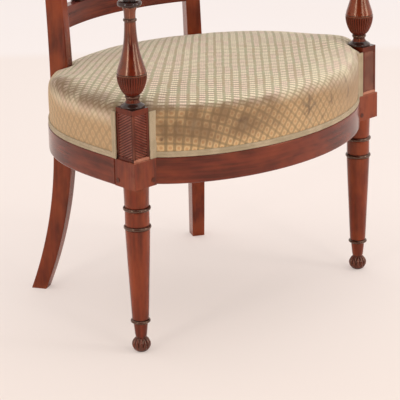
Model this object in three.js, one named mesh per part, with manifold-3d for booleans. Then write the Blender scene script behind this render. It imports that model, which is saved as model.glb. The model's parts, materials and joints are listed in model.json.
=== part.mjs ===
import * as THREE from "three";
import { mergeVertices } from "three/addons/utils/BufferGeometryUtils.js";
import Module from "manifold-3d";

// A lyre back armchair of about 1800 in mahogany: turned front posts that run up as arm balusters,
// sabre rear legs that run up as stiles, a bowed and hooped seat frame, an upholstered seat, and
// an open curved back with a lyre between its two rails.
// Millimetres. X runs across the seat, Y from front to back and Z up. X = 0 is the middle and
// Y = 0 the line of the front posts, until the last lines centre the chair over its origin.
// Handed pieces are modelled once, on the side of +X, and mirrored for the other side.

const wasm = await Module();
wasm.setup();

// Fits and allowances
const clearance = 0.3; // between faces that touch
const overrun = 3; // how far a cut runs past the face that it opens
const lap = 1; // how far two parts of one piece run into each other
const weld = 0.001; // corners nearer than this are one

// Seat frame. The front rail is a bow, part of an ellipse. The side and rear rails follow one
// hoop: |x / halfWidth| ^ acrossPower + |y / depth| ^ alongPower = 1, from its own centre.
const seat = { width: 570, frontReach: 115, rearReach: 362.6 };
const rail = { height: 44.3, thickness: 27 };
const bow = { depth: 185, endSetIn: 0.8 };
const hoop = { proud: 1, centreY: 17.8, acrossPower: 1.69, alongPower: 3.18 };
bow.centreY = bow.depth - seat.frontReach;
hoop.halfWidth = seat.width / 2 + hoop.proud;
hoop.depth = seat.rearReach - hoop.centreY;

// Front posts: ball foot, turned leg, seat block, carved block, baluster and capital in one
const legHeight = 284.7;
const block = { side: 47 };
const carved = { height: 85.2, across: 33, along: 39.4, setIn: 2.7 };
const foot = { radius: 15, centreZ: 12.5, halfHeight: 14, gadroons: 12, gadroonDepth: 1.6 };
const leg = {
  ankleRadius: 9.5,
  ankleTopRadius: 11.8,
  shaftFootRadius: 13.8,
  shaftTopRadius: 20.6,
  neckRadius: 19.9,
};
const lowRing = { z: 52.1, height: 7, radius: 16.5 };
const midRing = { z: 214, height: 6.4, radius: 22.4 };
const topRing = { z: 244.6, height: 6.4, radius: 22.6 };
const baluster = { height: 169.8, radius: 23.4, out: 1.4, reeds: 30, reedDepth: 1.3 };
const spigot = { neckRadius: 10, neckHeight: 6, radius: 7, length: 15 };
const railTop = legHeight + rail.height;
const blockTop = railTop + carved.height;
const postX = seat.width / 2 - block.side / 2;
const railPlane = block.side / 2 + clearance;
// The bow is as wide as it takes to meet the seat blocks just behind their front faces
bow.endY = bow.endSetIn - block.side / 2;
bow.endShare = (bow.centreY - bow.endY) / bow.depth;
bow.halfWidth = (postX - block.side / 2) / Math.sqrt(1 - bow.endShare ** 2);

// Radius as a share of the bulb's, height as a share of the baluster's
const balusterShares = [
  [0.71, 0], [0.748, 0.017], [0.71, 0.034], [0.45, 0.046], [0.4, 0.0565], [0.4, 0.066],
  [0.5, 0.084], [0.5, 0.107], [0.45, 0.113], [0.56, 0.18], [0.8, 0.25], [0.975, 0.295],
  [0.949, 0.312], [0.897, 0.35], [0.79, 0.394], [0.671, 0.4435], [0.53, 0.5365], [0.44, 0.629],
  [0.395, 0.723], [0.378, 0.797], [0.466, 0.82], [0.387, 0.842], [0.387, 0.894],
  [0.5, 0.93], [0.727, 0.945], [0.823, 0.966], [0.823, 0.985], [0.727, 1],
];
const discShare = 0.748;
// The reeded under side of the bulb: radius share, height share and depth share of the reeds
const reedShares = [
  [0.55, 0.116, 0.3], [0.705, 0.153, 1], [0.86, 0.194, 1], [0.96, 0.236, 1], [1, 0.275, 0.9],
  [0.985, 0.288, 0.3],
];

// Back: its rails, lyre and stiles stand on one cylinder, and rake back as they rise
const back = { radius: 350, setIn: 33.6, height: 868, rake: 47, rakeFrom: 300 };
back.centreY = seat.rearReach - back.setIn - back.radius;

// Rear posts: sabre leg and stile in one piece, turned to face the middle of the seat
const stile = { widthShare: 0.27105, behind: 11.7, turn: THREE.MathUtils.degToRad(28) };
stile.x = seat.width * stile.widthShare;
const stileFoot = { width: 23, depth: 27.5 };
const stileSeat = { width: 27, depth: 34 };
const stileTop = { width: 24, depth: 25 };
const sabre = { splay: 54.5, splayTurn: THREE.MathUtils.degToRad(41), top: 300, power: 2.15 };
stile.y = back.centreY + Math.sqrt((back.radius + stile.behind) ** 2 - stile.x ** 2);

// Back rails
const lowerRail = { bottom: 466.3, height: 37, thickness: 20.5 };
const crest = { height: 62, arch: 12, thickness: 25, overhang: 25, front: 3 };
crest.bottom = back.height - crest.height - crest.arch;
// The crest's section, front to back and up: shares of its thickness and of its height
const crestShares = [
  [0.06, 0], [0, 0.35], [-0.03, 0.74], [0.02, 0.9], [0.16, 0.98], [0.42, 1], [0.72, 0.985],
  [0.98, 0.93], [1.1, 0.82], [1.08, 0.7], [0.94, 0.6], [0.88, 0.35], [0.88, 0],
];

// Joints
const tenon = { thickness: 9, height: 28, length: 11, frontLength: 26 };
const frontTenonShare = 0.72; // how far back in the rail its tenon stands, by the block
const rearTenonShare = -0.14; // how far behind the middle of the rear post, by its depth
const tenonHeightShare = 0.6; // of the lower back rail and of the arm's end
const peg = { radius: 4, proud: 0.5, length: 30, setIn: 7.3, rise: 10 };

// Armrests, each with a scroll over its baluster
const arm = { width: 30, thickness: 21, rearWidth: 24, rearThickness: 23, riseShare: 0.2862 };
const scroll = { radius: 23, width: 31, flat: 3, eyeRadius: 15, eyeDepth: 1.5 };
// Along the arm: shares of its run back, of its run in to the stile, and of its rise
const armShares = [
  [0, 0, 0], [0.3, -0.07, 0.03], [0.62, 0.16, 0.24], [0.86, 0.55, 0.64],
];
const balusterX = postX + baluster.out;
const capitalTop = blockTop + baluster.height;
scroll.z = capitalTop + spigot.neckHeight + clearance + scroll.radius - scroll.flat;

// Lyre: plinth, base, two arms with scrolled ends, yoke, strings and rosettes
const lyre = { halfWidth: 74, thickness: 16, setBack: 2.5, foot: 21, belly: 18, neck: 12.5 };
const plinth = { halfLength: 95, height: 13, depth: 21 };
const lyreBase = { height: 30, halfWidth: 50 };
const lyreEye = { radius: 16, thickness: 19 };
const yoke = { radius: 5.5, knopRadius: 9, knopLength: 16, dropShare: 0.1475 };
const string = { count: 5, radius: 1.8, pitch: 11.5, socket: 4 };
const rosette = { radius: 11, height: 5, petals: 8, petalDepth: 1.2 };
const lyreBottom = lowerRail.bottom + lowerRail.height + clearance;
const baseBottom = lyreBottom + plinth.height + clearance;
const armsBottom = baseBottom + lyreBase.height + clearance;
const lyreTop = crest.bottom - clearance;
// Centre line of a lyre arm: shares of the half width and of the height of the arms
const lyreShares = [
  [0.5, 0], [0.74, 0.09], [0.96, 0.24], [1, 0.38], [0.86, 0.52], [0.66, 0.65],
  [0.56, 0.77], [0.66, 0.87], [0.86, 0.92],
];
const eyeShare = [0.95, 1];
// How wide the arm is along it: shares of its length, with the foot, belly and neck widths
const bellyShare = 0.3;
const neckShare = 0.72;
// Half widths of the lyre's base from its foot up: width share and height share
const baseShares = [[0.92, 0], [0.86, 0.12], [0.62, 0.28], [0.54, 0.5], [0.66, 0.72], [1, 1]];
// The moulded edge of the plinth: shares of its depth cut away, and of its height
const plinthShares = [[0, 0], [0, 0.42], [0.1, 0.5], [0.13, 0.75], [0.2, 1]];
// The domed rosette: radius, height and petal depth shares
const rosetteShares = [[1, 0, 1], [1, 0.3, 1], [0.82, 0.62, 1], [0.5, 0.74, 0.5], [0.42, 1, 0]];

// Upholstery
const webPitchShare = 0.16667; // of the seat's width
const web = { width: 50, thickness: 1.5, count: 3, pitchY: 100, middleY: 150, setIn: 8 };
web.pitchX = seat.width * webPitchShare;
web.slope = 12; // length of strap that rises or falls beside a crossing
const hessian = { thickness: 1, setIn: 4.5 };
const gimp = { height: 9.5, thickness: 2.2, setIn: 0.5 };
// The first four are heights above the seat rails
const cushion = {
  frontEdge: 86.3,
  sideEdge: 91,
  rearEdge: 73.4,
  middle: 83.2,
  crown: 24,
  crownY: 130,
  bulge: 1.1,
  roll: 21,
  rollHeight: 8.7,
};
// Heights up the wall, angles round the rolled edge, and rings of the crown, as shares
const wallShares = [0, 0.35, 0.7, 1];
const rollShares = [0.33, 0.67, 1];
const crownShares = [0.9, 0.76, 0.6, 0.42, 0.24, 0.08];
for (const level of ["frontEdge", "sideEdge", "rearEdge", "middle"]) cushion[level] += railTop;
cushion.setIn = gimp.setIn + gimp.thickness + clearance;
const webBottom = railTop + clearance;
const webRise = web.thickness + clearance;
const hessianBottom = webBottom + web.thickness + webRise + clearance;
const cushionBottom = hessianBottom + hessian.thickness + clearance;
const gimpBottom = railTop + clearance;

// Number of faces
const turnedSides = 20;
const pegSides = 12;
const stringSides = 8;
const ringPoints = 16;
const curveSteps = 20;

// Finishes
const finish = (color, roughness, metalness = 0) =>
  new THREE.MeshStandardMaterial({ color, roughness, metalness });
const mahogany = finish(0x7a3524, 0.32);
const ebonised = finish(0x1e1310, 0.3);
const brass = finish(0xb08a3c, 0.35, 1);
const jute = finish(0xa08a63, 0.95);
const sacking = finish(0xb39b70, 0.95);
const cover = finish(0xbfae84, 0.9);
const braid = finish(0xcdc29a, 0.85);

// Solids

function signedVolume(geometry) {
  const position = geometry.getAttribute("position");
  const index = geometry.index.array;
  const [a, b, c] = [new THREE.Vector3(), new THREE.Vector3(), new THREE.Vector3()];
  let sum = 0;
  for (let i = 0; i < index.length; i += 3) {
    a.fromBufferAttribute(position, index[i]);
    b.fromBufferAttribute(position, index[i + 1]);
    c.fromBufferAttribute(position, index[i + 2]);
    sum += a.dot(b.cross(c));
  }
  return sum;
}

// A closed geometry, or a solid as it is, as a solid for joining and cutting
function solidOf(shape) {
  if (!shape.isBufferGeometry) return shape;
  const bare = new THREE.BufferGeometry();
  bare.setAttribute("position", shape.getAttribute("position").clone());
  bare.setIndex(shape.index ? shape.index.clone() : null);
  const merged = mergeVertices(bare, weld);
  const triVerts = new Uint32Array(merged.index.array);
  if (signedVolume(merged) < 0)
    for (let i = 0; i < triVerts.length; i += 3)
      [triVerts[i + 1], triVerts[i + 2]] = [triVerts[i + 2], triVerts[i + 1]];
  const vertProperties = merged.attributes.position.array;
  return new wasm.Manifold(new wasm.Mesh({ numProp: 3, vertProperties, triVerts }));
}

const join = (...shapes) => shapes.map(solidOf).reduce((sum, next) => sum.add(next));
const cut = (shape, ...tools) =>
  tools.map(solidOf).reduce((sum, next) => sum.subtract(next), solidOf(shape));
const common = (...shapes) => shapes.map(solidOf).reduce((sum, next) => sum.intersect(next));

function geometryOf(solid) {
  const mesh = solid.getMesh();
  const geometry = new THREE.BufferGeometry();
  geometry.setAttribute("position", new THREE.BufferAttribute(mesh.vertProperties, 3));
  geometry.setIndex(new THREE.BufferAttribute(mesh.triVerts, 1));
  geometry.computeVertexNormals();
  return geometry;
}

const mirrored = (shape) => geometryOf(solidOf(shape)).scale(-1, 1, 1);

function box([x0, x1], [y0, y1], [z0, z1]) {
  const geometry = new THREE.BoxGeometry(x1 - x0, y1 - y0, z1 - z0);
  return geometry.translate((x0 + x1) / 2, (y0 + y1) / 2, (z0 + z1) / 2);
}

// A profile of [radius, height] turned about the Z axis, closed at both ends
function turned(profile, sides = turnedSides) {
  const first = [0, profile[0][1]];
  const last = [0, profile.at(-1)[1]];
  const points = [first, ...profile, last].map(([r, z]) => new THREE.Vector2(r, z));
  return new THREE.LatheGeometry(points, sides).rotateX(Math.PI / 2);
}

function cylinder(radius, z0, z1, sides) {
  return turned([[radius, z0], [radius, z1]], sides);
}

// Skins a row of rings, each with as many points, and closes both ends
function loft(rings) {
  const count = rings[0].length;
  const middle = (ring) =>
    ring.reduce((sum, p) => sum.add(p), new THREE.Vector3()).divideScalar(count);
  const points = [...rings.flat(), middle(rings[0]), middle(rings.at(-1))];
  const [start, end] = [points.length - 2, points.length - 1];
  const lastRing = (rings.length - 1) * count;
  const index = [];
  for (let i = 0; i < count; i++) {
    const next = (i + 1) % count;
    for (let base = 0; base < lastRing; base += count) {
      const [a, b, c, d] = [base + i, base + next, base + count + next, base + count + i];
      index.push(a, b, c, a, c, d);
    }
    index.push(start, next, i, end, lastRing + i, lastRing + next);
  }
  return new THREE.BufferGeometry().setFromPoints(points).setIndex(index);
}

// A rounded rectangle about the origin: power 2 is an ellipse, and higher is squarer
function roundedRing(width, depth, power = 5, count = ringPoints) {
  const side = (value) => Math.sign(value) * Math.abs(value) ** (2 / power);
  return Array.from({ length: count }, (_, i) => {
    const angle = ((i + 0.5) / count) * 2 * Math.PI;
    return [(width / 2) * side(Math.cos(angle)), (depth / 2) * side(Math.sin(angle))];
  });
}

// A rounded bar of changing section along a path, kept upright
function sweep(path, sizeAt, power = 4, steps = Math.round(0.7 * curveSteps)) {
  const up = new THREE.Vector3(0, 0, 1);
  const rings = [];
  for (let i = 0; i <= steps; i++) {
    const share = i / steps;
    const centre = path.getPointAt(share);
    const ahead = path.getTangentAt(share);
    const across = new THREE.Vector3().crossVectors(ahead, up).normalize();
    const rise = new THREE.Vector3().crossVectors(across, ahead);
    const [width, thickness] = sizeAt(share);
    rings.push(
      roundedRing(width, thickness, power).map(([x, z]) =>
        centre.clone().addScaledVector(across, x).addScaledVector(rise, z),
      ),
    );
  }
  return loft(rings);
}

// A plan outline, as Vector2 points, raised from one height to another
function raised(outline, z0, z1) {
  const shape = new THREE.Shape(outline);
  const depth = z1 - z0;
  return new THREE.ExtrudeGeometry(shape, { depth, bevelEnabled: false }).translate(0, 0, z0);
}

// Curves of the seat

const point = (x, y) => new THREE.Vector2(x, y);
const bowY = (x) =>
  bow.centreY - bow.depth * Math.sqrt(Math.max(0, 1 - (x / bow.halfWidth) ** 2));
const hoopX = (y) => {
  const along = Math.min(1, Math.abs(y - hoop.centreY) / hoop.depth);
  return hoop.halfWidth * (1 - along ** hoop.alongPower) ** (1 / hoop.acrossPower);
};

// Moves a curve to its left by a distance
function shifted(curve, distance) {
  return curve.map((p, i) => {
    const before = curve[Math.max(0, i - 1)];
    const after = curve[Math.min(curve.length - 1, i + 1)];
    const ahead = after.clone().sub(before).normalize();
    return point(p.x - ahead.y * distance, p.y + ahead.x * distance);
  });
}

// The bow from one end to the other, left to right
function bowCurve(halfSpan, setIn = 0) {
  const ends = Math.asin(halfSpan / bow.halfWidth);
  const curve = [];
  for (let i = -curveSteps / 2; i <= curveSteps / 2; i++) {
    const x = bow.halfWidth * Math.sin((ends * 2 * i) / curveSteps);
    curve.push(point(x, bowY(x)));
  }
  return shifted(curve, setIn);
}

// The right half of the hoop, from a place beside the front post to the middle of the back
function halfHoop(fromY, setIn = 0) {
  const curve = [];
  const start = (fromY - hoop.centreY) / hoop.depth;
  const startAngle = Math.asin(start);
  for (let i = 0; i <= curveSteps; i++) {
    const angle = startAngle + ((Math.PI / 2 - startAngle) * i) / curveSteps;
    const y = hoop.centreY + hoop.depth * Math.sin(angle);
    curve.push(point(i < curveSteps ? hoopX(y) : 0, y));
  }
  const moved = shifted(curve, setIn);
  moved.at(-1).x = 0;
  return moved;
}

const flipX = (curve) => curve.map((p) => point(-p.x, p.y)).reverse();
const wholeHoop = (fromY, setIn) => {
  const right = halfHoop(fromY, setIn);
  return [...right, ...flipX(right).slice(1)];
};
const band = (curve, thickness) => [...curve, ...shifted(curve, thickness).reverse()];

// Front posts

function bead(ring, rootRadius, steps = 4) {
  return Array.from({ length: steps + 1 }, (_, i) => {
    const angle = (Math.PI * i) / steps;
    const radius = rootRadius + (ring.radius - rootRadius) * Math.sin(angle);
    return [radius, ring.z - (ring.height / 2) * Math.cos(angle)];
  });
}

// A turned form with lobes cut along it: [radius, height, depth of the lobes] for each ring
function lobed(profile, lobes, pointsPerLobe) {
  const count = lobes * pointsPerLobe;
  return loft(
    profile.map(([radius, z, depth]) =>
      Array.from({ length: count }, (_, i) => {
        const angle = (i / count) * 2 * Math.PI;
        const r = radius - depth * (1 - Math.abs(Math.cos((lobes * angle) / 2)));
        return new THREE.Vector3(r * Math.cos(angle), r * Math.sin(angle), z);
      }),
    ),
  );
}

function ballFoot() {
  const start = -Math.asin(foot.centreZ / foot.halfHeight);
  const steps = 6;
  const profile = Array.from({ length: steps + 1 }, (_, i) => {
    const angle = start + ((-2 * start) * i) / steps;
    const carvedShare = Math.max(0, Math.min(1, 4 * Math.sin(angle)));
    return [
      foot.radius * Math.cos(angle),
      foot.centreZ + foot.halfHeight * Math.sin(angle),
      foot.gadroonDepth * carvedShare,
    ];
  });
  return lobed(profile, foot.gadroons, 3);
}

function turnedLeg() {
  const shaftBottom = lowRing.z + lowRing.height / 2;
  const shaftTop = midRing.z - midRing.height / 2;
  return turned([
    [leg.ankleRadius, foot.centreZ],
    [leg.ankleRadius, foot.centreZ + foot.halfHeight],
    ...bead(lowRing, leg.ankleTopRadius),
    [leg.shaftFootRadius, shaftBottom + lap],
    [leg.shaftTopRadius, shaftTop],
    ...bead(midRing, leg.shaftTopRadius),
    ...bead(topRing, leg.neckRadius),
    [leg.neckRadius, topRing.z + topRing.height],
    [leg.shaftTopRadius, legHeight + lap],
  ]);
}

function turnedBaluster() {
  const place = ([r, z]) => [baluster.radius * r, blockTop + baluster.height * z];
  const column = turned([
    [baluster.radius * balusterShares[0][0], blockTop - lap],
    ...balusterShares.map(place),
    [spigot.neckRadius, capitalTop + lap],
    [spigot.neckRadius, capitalTop + spigot.neckHeight],
    [spigot.radius, capitalTop + spigot.neckHeight],
    [spigot.radius, capitalTop + spigot.neckHeight + spigot.length],
  ]);
  const reeds = lobed(
    reedShares.map(([r, z, depth]) => [...place([r, z]), baluster.reedDepth * depth]),
    baluster.reeds,
    2,
  );
  return join(column, reeds);
}

// The carved block stands back from the outer and front faces of the seat block
const carvedFace = block.side / 2 - carved.setIn;
const carvedX = [carvedFace - carved.across, carvedFace];
const carvedY = [-carvedFace, carved.along - carvedFace];

function frontTenon(grow = 0) {
  const reach = postX - block.side / 2 + tenon.frontLength + grow;
  const half = tenon.thickness / 2 + grow;
  const middle = tenonMiddleY();
  const z = railMiddle(grow);
  return box([postX - block.side / 2 - rail.thickness / 2, reach], [middle - half, middle + half], z);
}

function railMiddle(grow) {
  const z = legHeight + rail.height / 2;
  return [z - tenon.height / 2 - grow, z + tenon.height / 2 + grow];
}

// The front rail reaches its block aslant, so its tenon stands near the middle of the block
function tenonMiddleY() {
  return -block.side / 2 + rail.thickness * frontTenonShare;
}

function sideTenon(grow = 0) {
  const x = hoop.halfWidth - rail.thickness / 2;
  const half = tenon.thickness / 2 + grow;
  const reach = block.side / 2 - 2 * tenon.length - grow;
  return box([x - half, x + half], [reach, block.side / 2 + rail.thickness / 2], railMiddle(grow));
}

const pegHeight = legHeight + peg.rise;

// One peg from the front face through the front rail's tenon, one from the side face
function frontPeg(grow = 0) {
  const x = postX - block.side / 2 + peg.setIn;
  const y = -block.side / 2 - peg.proud - grow;
  return cylinder(peg.radius + grow, 0, peg.length + 2 * grow, pegSides)
    .rotateX(-Math.PI / 2)
    .translate(x, y, pegHeight);
}

function sidePeg(grow = 0) {
  const x = postX + block.side / 2 + peg.proud + grow;
  const y = block.side / 2 - peg.setIn;
  return cylinder(peg.radius + grow, 0, peg.length / 2 + 2 * grow, pegSides)
    .rotateY(-Math.PI / 2)
    .translate(x, y, pegHeight);
}

function frontPost() {
  const half = block.side / 2;
  const seatBlock = box([-half, half], [-half, half], [legHeight, railTop]);
  const carvedBlock = box(carvedX, carvedY, [railTop - lap, blockTop]);
  const topPart = geometryOf(solidOf(turnedBaluster())).translate(baluster.out, 0, 0);
  const whole = geometryOf(join(ballFoot(), turnedLeg(), seatBlock, carvedBlock, topPart));
  return cut(
    whole.translate(postX, 0, 0),
    frontTenon(clearance),
    sideTenon(clearance),
    frontPeg(clearance),
    sidePeg(clearance),
  );
}

// Rear posts

const rakeAt = (z) =>
  back.rake * (Math.max(0, z - back.rakeFrom) / (back.height - back.rakeFrom)) ** 2;

function postPlace(z) {
  const splay = sabre.splay * Math.max(0, 1 - z / sabre.top) ** sabre.power;
  const x = stile.x + splay * Math.sin(sabre.splayTurn);
  const y = stile.y + splay * Math.cos(sabre.splayTurn) + rakeAt(z);
  return new THREE.Vector3(x, y, z);
}

function postSize(z) {
  const below = z < legHeight;
  const share = below ? z / legHeight : Math.max(0, (z - railTop) / (crest.bottom - railTop));
  const [from, to] = below ? [stileFoot, stileSeat] : [stileSeat, stileTop];
  const mix = (key) => from[key] + (to[key] - from[key]) * share;
  return [mix("width"), mix("depth")];
}

// The post's own directions: X out to its side, Y to its back
function postFrame(z) {
  const frame = new THREE.Matrix4().makeRotationZ(-stile.turn);
  return frame.setPosition(postPlace(z));
}

function postBetween(z0, z1, steps, grow = 0) {
  const rings = [];
  for (let i = 0; i <= steps; i++) {
    const z = z0 + ((z1 - z0) * i) / steps;
    const [width, depth] = postSize(z);
    const frame = postFrame(z);
    rings.push(
      roundedRing(width + 2 * grow, depth + 2 * grow, 7).map(([x, y]) =>
        new THREE.Vector3(x, y, 0).applyMatrix4(frame),
      ),
    );
  }
  return loft(rings);
}

// A tenon let into a rear post: side 1 is its outer face, and -1 its inner one
function postTenon(z, height, behind, side, grow = 0) {
  const face = (side * postSize(z)[0]) / 2;
  const reach = face - side * (tenon.length + grow);
  const root = face + (side * rail.thickness) / 2;
  const half = tenon.thickness / 2 + grow;
  const depth = [behind - half, behind + half];
  const width = [Math.min(reach, root), Math.max(reach, root)];
  const tall = [-height / 2 - grow, height / 2 + grow];
  return box(width, depth, tall).applyMatrix4(postFrame(z));
}

const seatJointZ = legHeight + rail.height / 2;
const seatJointBehind = stileSeat.depth * rearTenonShare;
const lowerJointZ = lowerRail.bottom + lowerRail.height / 2;
const lowerTenonHeight = lowerRail.height * tenonHeightShare;

const seatTenon = (side, grow) => postTenon(seatJointZ, tenon.height, seatJointBehind, side, grow);
const lowerTenon = (grow) => postTenon(lowerJointZ, lowerTenonHeight, 0, -1, grow);

function rearPost() {
  const leg = postBetween(0, legHeight, 10);
  const top = postBetween(legHeight, crest.bottom, 14);
  return cut(
    join(leg, top, crestTenon()),
    seatTenon(1, clearance),
    seatTenon(-1, clearance),
    lowerTenon(clearance),
    armTenon(clearance),
  );
}

// All that lies on one side of a rear post, between two heights: it leans as the post does
function besidePost(side, z0, z1) {
  const reach = 2 * seat.width;
  const ringAt = (z) => {
    const near = side * (postSize(z)[0] / 2 + clearance);
    const far = side * reach;
    const corners = [[near, -reach], [far, -reach], [far, reach], [near, reach]];
    return corners.map(([x, y]) => new THREE.Vector3(x, y, 0).applyMatrix4(postFrame(z)));
  };
  return loft([ringAt(z0), ringAt(z1)]);
}

// Seat rails

function frontRail() {
  const half = postX - block.side / 2 - clearance;
  const outer = bowCurve(bow.halfWidth - overrun);
  const body = common(
    raised(band(outer, rail.thickness), legHeight, railTop),
    box([-half, half], [-seat.width, block.side / 2], [0, blockTop]),
  );
  const pegs = [frontPeg(clearance), mirrored(frontPeg(clearance))];
  return cut(join(body, frontTenon(), mirrored(frontTenon())), ...pegs);
}

function hoopBand() {
  return raised(band(wholeHoop(railPlane, 0), rail.thickness), legHeight, railTop);
}

function sideRail() {
  const outside = besidePost(1, legHeight - overrun, railTop + overrun);
  const body = common(hoopBand(), outside);
  return cut(join(body, sideTenon(), seatTenon(1)), sidePeg(clearance));
}

function rearRail() {
  const inside = besidePost(-1, legHeight - overrun, railTop + overrun);
  const body = common(hoopBand(), inside, mirrored(inside));
  return join(body, seatTenon(-1), mirrored(seatTenon(-1)));
}

// The back: a place on it, from its run along the curve, its height and its depth

function onBack(run, z, depth) {
  const angle = run / back.radius;
  const radius = back.radius + depth;
  const y = back.centreY + radius * Math.cos(angle) + rakeAt(z);
  return new THREE.Vector3(radius * Math.sin(angle), y, z);
}

const stileRun = back.radius * Math.asin(stile.x / (back.radius + stile.behind));

function lowerBackRail() {
  const steps = 16;
  const top = lowerRail.bottom + lowerRail.height;
  const corners = [[lowerRail.bottom, 0], [top, 0], [top, 1], [lowerRail.bottom, 1]];
  const rings = [];
  for (let i = 0; i <= steps; i++) {
    const run = stileRun * (-1 + (2 * i) / steps);
    rings.push(corners.map(([z, depth]) => onBack(run, z, depth * lowerRail.thickness)));
  }
  const inside = besidePost(-1, lowerRail.bottom - overrun, top + overrun);
  const body = common(loft(rings), inside, mirrored(inside));
  return join(body, lowerTenon(), mirrored(lowerTenon()));
}

// The top of a stile enters the underside of the crest
function crestTenon(grow = 0) {
  const half = tenon.thickness / 2 + grow;
  const wide = stileTop.width / 2 - overrun + grow;
  const tall = box([-wide, wide], [-half, half], [-overrun, tenon.length + grow]);
  return tall.applyMatrix4(postFrame(crest.bottom));
}

function crestRail() {
  const steps = curveSteps;
  const end = stileRun + crest.overhang;
  const rings = [];
  for (let i = 0; i <= steps; i++) {
    const share = -1 + (2 * i) / steps;
    const height = crest.height + crest.arch * Math.cos((share * Math.PI) / 2);
    rings.push(
      crestShares.map(([depth, rise]) =>
        onBack(end * share, crest.bottom + height * rise, crest.thickness * depth - crest.front),
      ),
    );
  }
  return cut(loft(rings), crestTenon(clearance), mirrored(crestTenon(clearance)));
}

// Armrests

const armStart = new THREE.Vector3(balusterX, 0, scroll.z + scroll.radius - arm.thickness / 2);
arm.rise = (crest.bottom - armStart.z) * arm.riseShare;
const armEndZ = armStart.z + arm.rise;

function armPath() {
  const outer = postSize(armEndZ)[0] / 2;
  const end = new THREE.Vector3(outer, 0, 0).applyMatrix4(postFrame(armEndZ));
  const run = end.clone().sub(armStart);
  const via = armShares.map(([along, inward, rise]) =>
    armStart.clone().add(new THREE.Vector3(run.x * inward, run.y * along, run.z * rise)),
  );
  return new THREE.CatmullRomCurve3([...via, end, postPlace(armEndZ)], false, "centripetal");
}

// The pin on top of the baluster, let into the scroll
function armSocket() {
  const z = capitalTop + spigot.neckHeight;
  const pin = cylinder(spigot.radius + clearance, z, z + spigot.length + clearance, turnedSides);
  return pin.translate(balusterX, 0, 0);
}

function armScroll() {
  const half = scroll.width / 2;
  const inner = half - scroll.eyeDepth;
  const rim = scroll.eyeRadius + scroll.eyeDepth;
  const drum = turned(
    [
      [scroll.eyeRadius, -inner], [rim, -half], [scroll.radius, -half],
      [scroll.radius, half], [rim, half], [scroll.eyeRadius, inner],
    ],
    Math.round(1.5 * turnedSides),
  ).rotateY(Math.PI / 2);
  const reach = scroll.radius + overrun;
  const below = box([-reach, reach], [-reach, reach], [-reach, scroll.flat - scroll.radius]);
  return geometryOf(cut(drum, below)).translate(balusterX, 0, scroll.z);
}

const armTenon = (grow) => postTenon(armEndZ, arm.rearThickness * tenonHeightShare, 0, 1, grow);

function armrest() {
  const mix = (from, to, share) => from + (to - from) * share;
  const sizeAt = (share) => [
    mix(arm.width, arm.rearWidth, share),
    mix(arm.thickness, arm.rearThickness, share),
  ];
  const whole = join(sweep(armPath(), sizeAt), armScroll());
  const stileCut = postBetween(armEndZ - block.side, armEndZ + block.side, 4, clearance);
  return join(cut(whole, stileCut, armSocket()), armTenon());
}

// Lyre

// A block that stands on the back's curve, one ring for each [half width, height, depth cut away]
function standingBlock(rows, front, rear) {
  const across = [-1, -0.66, -0.33, 0, 0.33, 0.66, 1];
  return loft(
    rows.map(([half, z, away]) => [
      ...across.map((share) => onBack(half * share, z, front + away)),
      ...across.map((share) => onBack(-half * share, z, rear - away)),
    ]),
  );
}

function lyrePlinth() {
  const middle = lyre.setBack + lyre.thickness / 2;
  const rows = plinthShares.map(([away, rise]) => {
    const inset = away * plinth.depth;
    return [plinth.halfLength - inset, lyreBottom + plinth.height * rise, inset];
  });
  return solidOf(standingBlock(rows, middle - plinth.depth / 2, middle + plinth.depth / 2));
}

const strings = (make) =>
  Array.from({ length: string.count }, (_, i) => make((i - (string.count - 1) / 2) * string.pitch));

function lyreBaseBlock() {
  const rows = baseShares.map(([wide, rise]) => [
    lyreBase.halfWidth * wide, baseBottom + lyreBase.height * rise, 0,
  ]);
  const whole = standingBlock(rows, lyre.setBack, lyre.setBack + lyre.thickness);
  return cut(whole, ...strings(stringSocket));
}

function lyreArmCurve() {
  const height = lyreTop - lyreEye.radius - armsBottom;
  const place = ([run, rise]) =>
    new THREE.Vector3(lyre.halfWidth * run, 0, armsBottom + height * rise);
  return new THREE.CatmullRomCurve3([...lyreShares, eyeShare].map(place), false, "centripetal");
}

function lyreArmWidth(share) {
  if (share < bellyShare) return lyre.foot + ((lyre.belly - lyre.foot) * share) / bellyShare;
  const along = Math.min(1, (share - bellyShare) / (neckShare - bellyShare));
  return lyre.belly + (lyre.neck - lyre.belly) * along;
}

function lyreArm(grow = 0) {
  const curve = lyreArmCurve();
  const steps = 26;
  const rings = [];
  for (let i = 0; i <= steps; i++) {
    const centre = curve.getPointAt(i / steps);
    const ahead = curve.getTangentAt(i / steps);
    const across = i ? new THREE.Vector3(ahead.z, 0, -ahead.x) : new THREE.Vector3(1, 0, 0);
    const wide = lyreArmWidth(i / steps) + 2 * grow;
    const section = roundedRing(wide, lyre.thickness + 2 * grow, 3.4, 12);
    rings.push(
      section.map(([side, deep]) => {
        const place = centre.clone().addScaledVector(across, side);
        return onBack(place.x, place.z, lyre.setBack + lyre.thickness / 2 + deep);
      }),
    );
  }
  const half = lyreEye.thickness / 2 + grow;
  const whole = join(loft(rings), atEye(cylinder(lyreEye.radius + grow, -half, half, turnedSides)));
  const below = [lyreBottom, armsBottom - weld]; // a low back would bend the foot into the base
  return cut(whole, box([0, back.radius], [-back.height, back.height], below));
}

// Turns a form on the Z axis to lie in the eye of a scroll, its top to the front
function atEye(shape) {
  const run = lyre.halfWidth * eyeShare[0];
  const place = onBack(run, lyreTop - lyreEye.radius, lyre.setBack + lyre.thickness / 2);
  return shape
    .rotateX(Math.PI / 2)
    .rotateZ(-run / back.radius)
    .translate(place.x, place.y, place.z);
}

function lyreRosette() {
  const base = lyreEye.thickness / 2 + clearance;
  const profile = rosetteShares.map(([r, rise, depth]) => [
    rosette.radius * r, base + rosette.height * rise, rosette.petalDepth * depth,
  ]);
  return solidOf(atEye(lobed(profile, rosette.petals, 3)));
}

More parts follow.
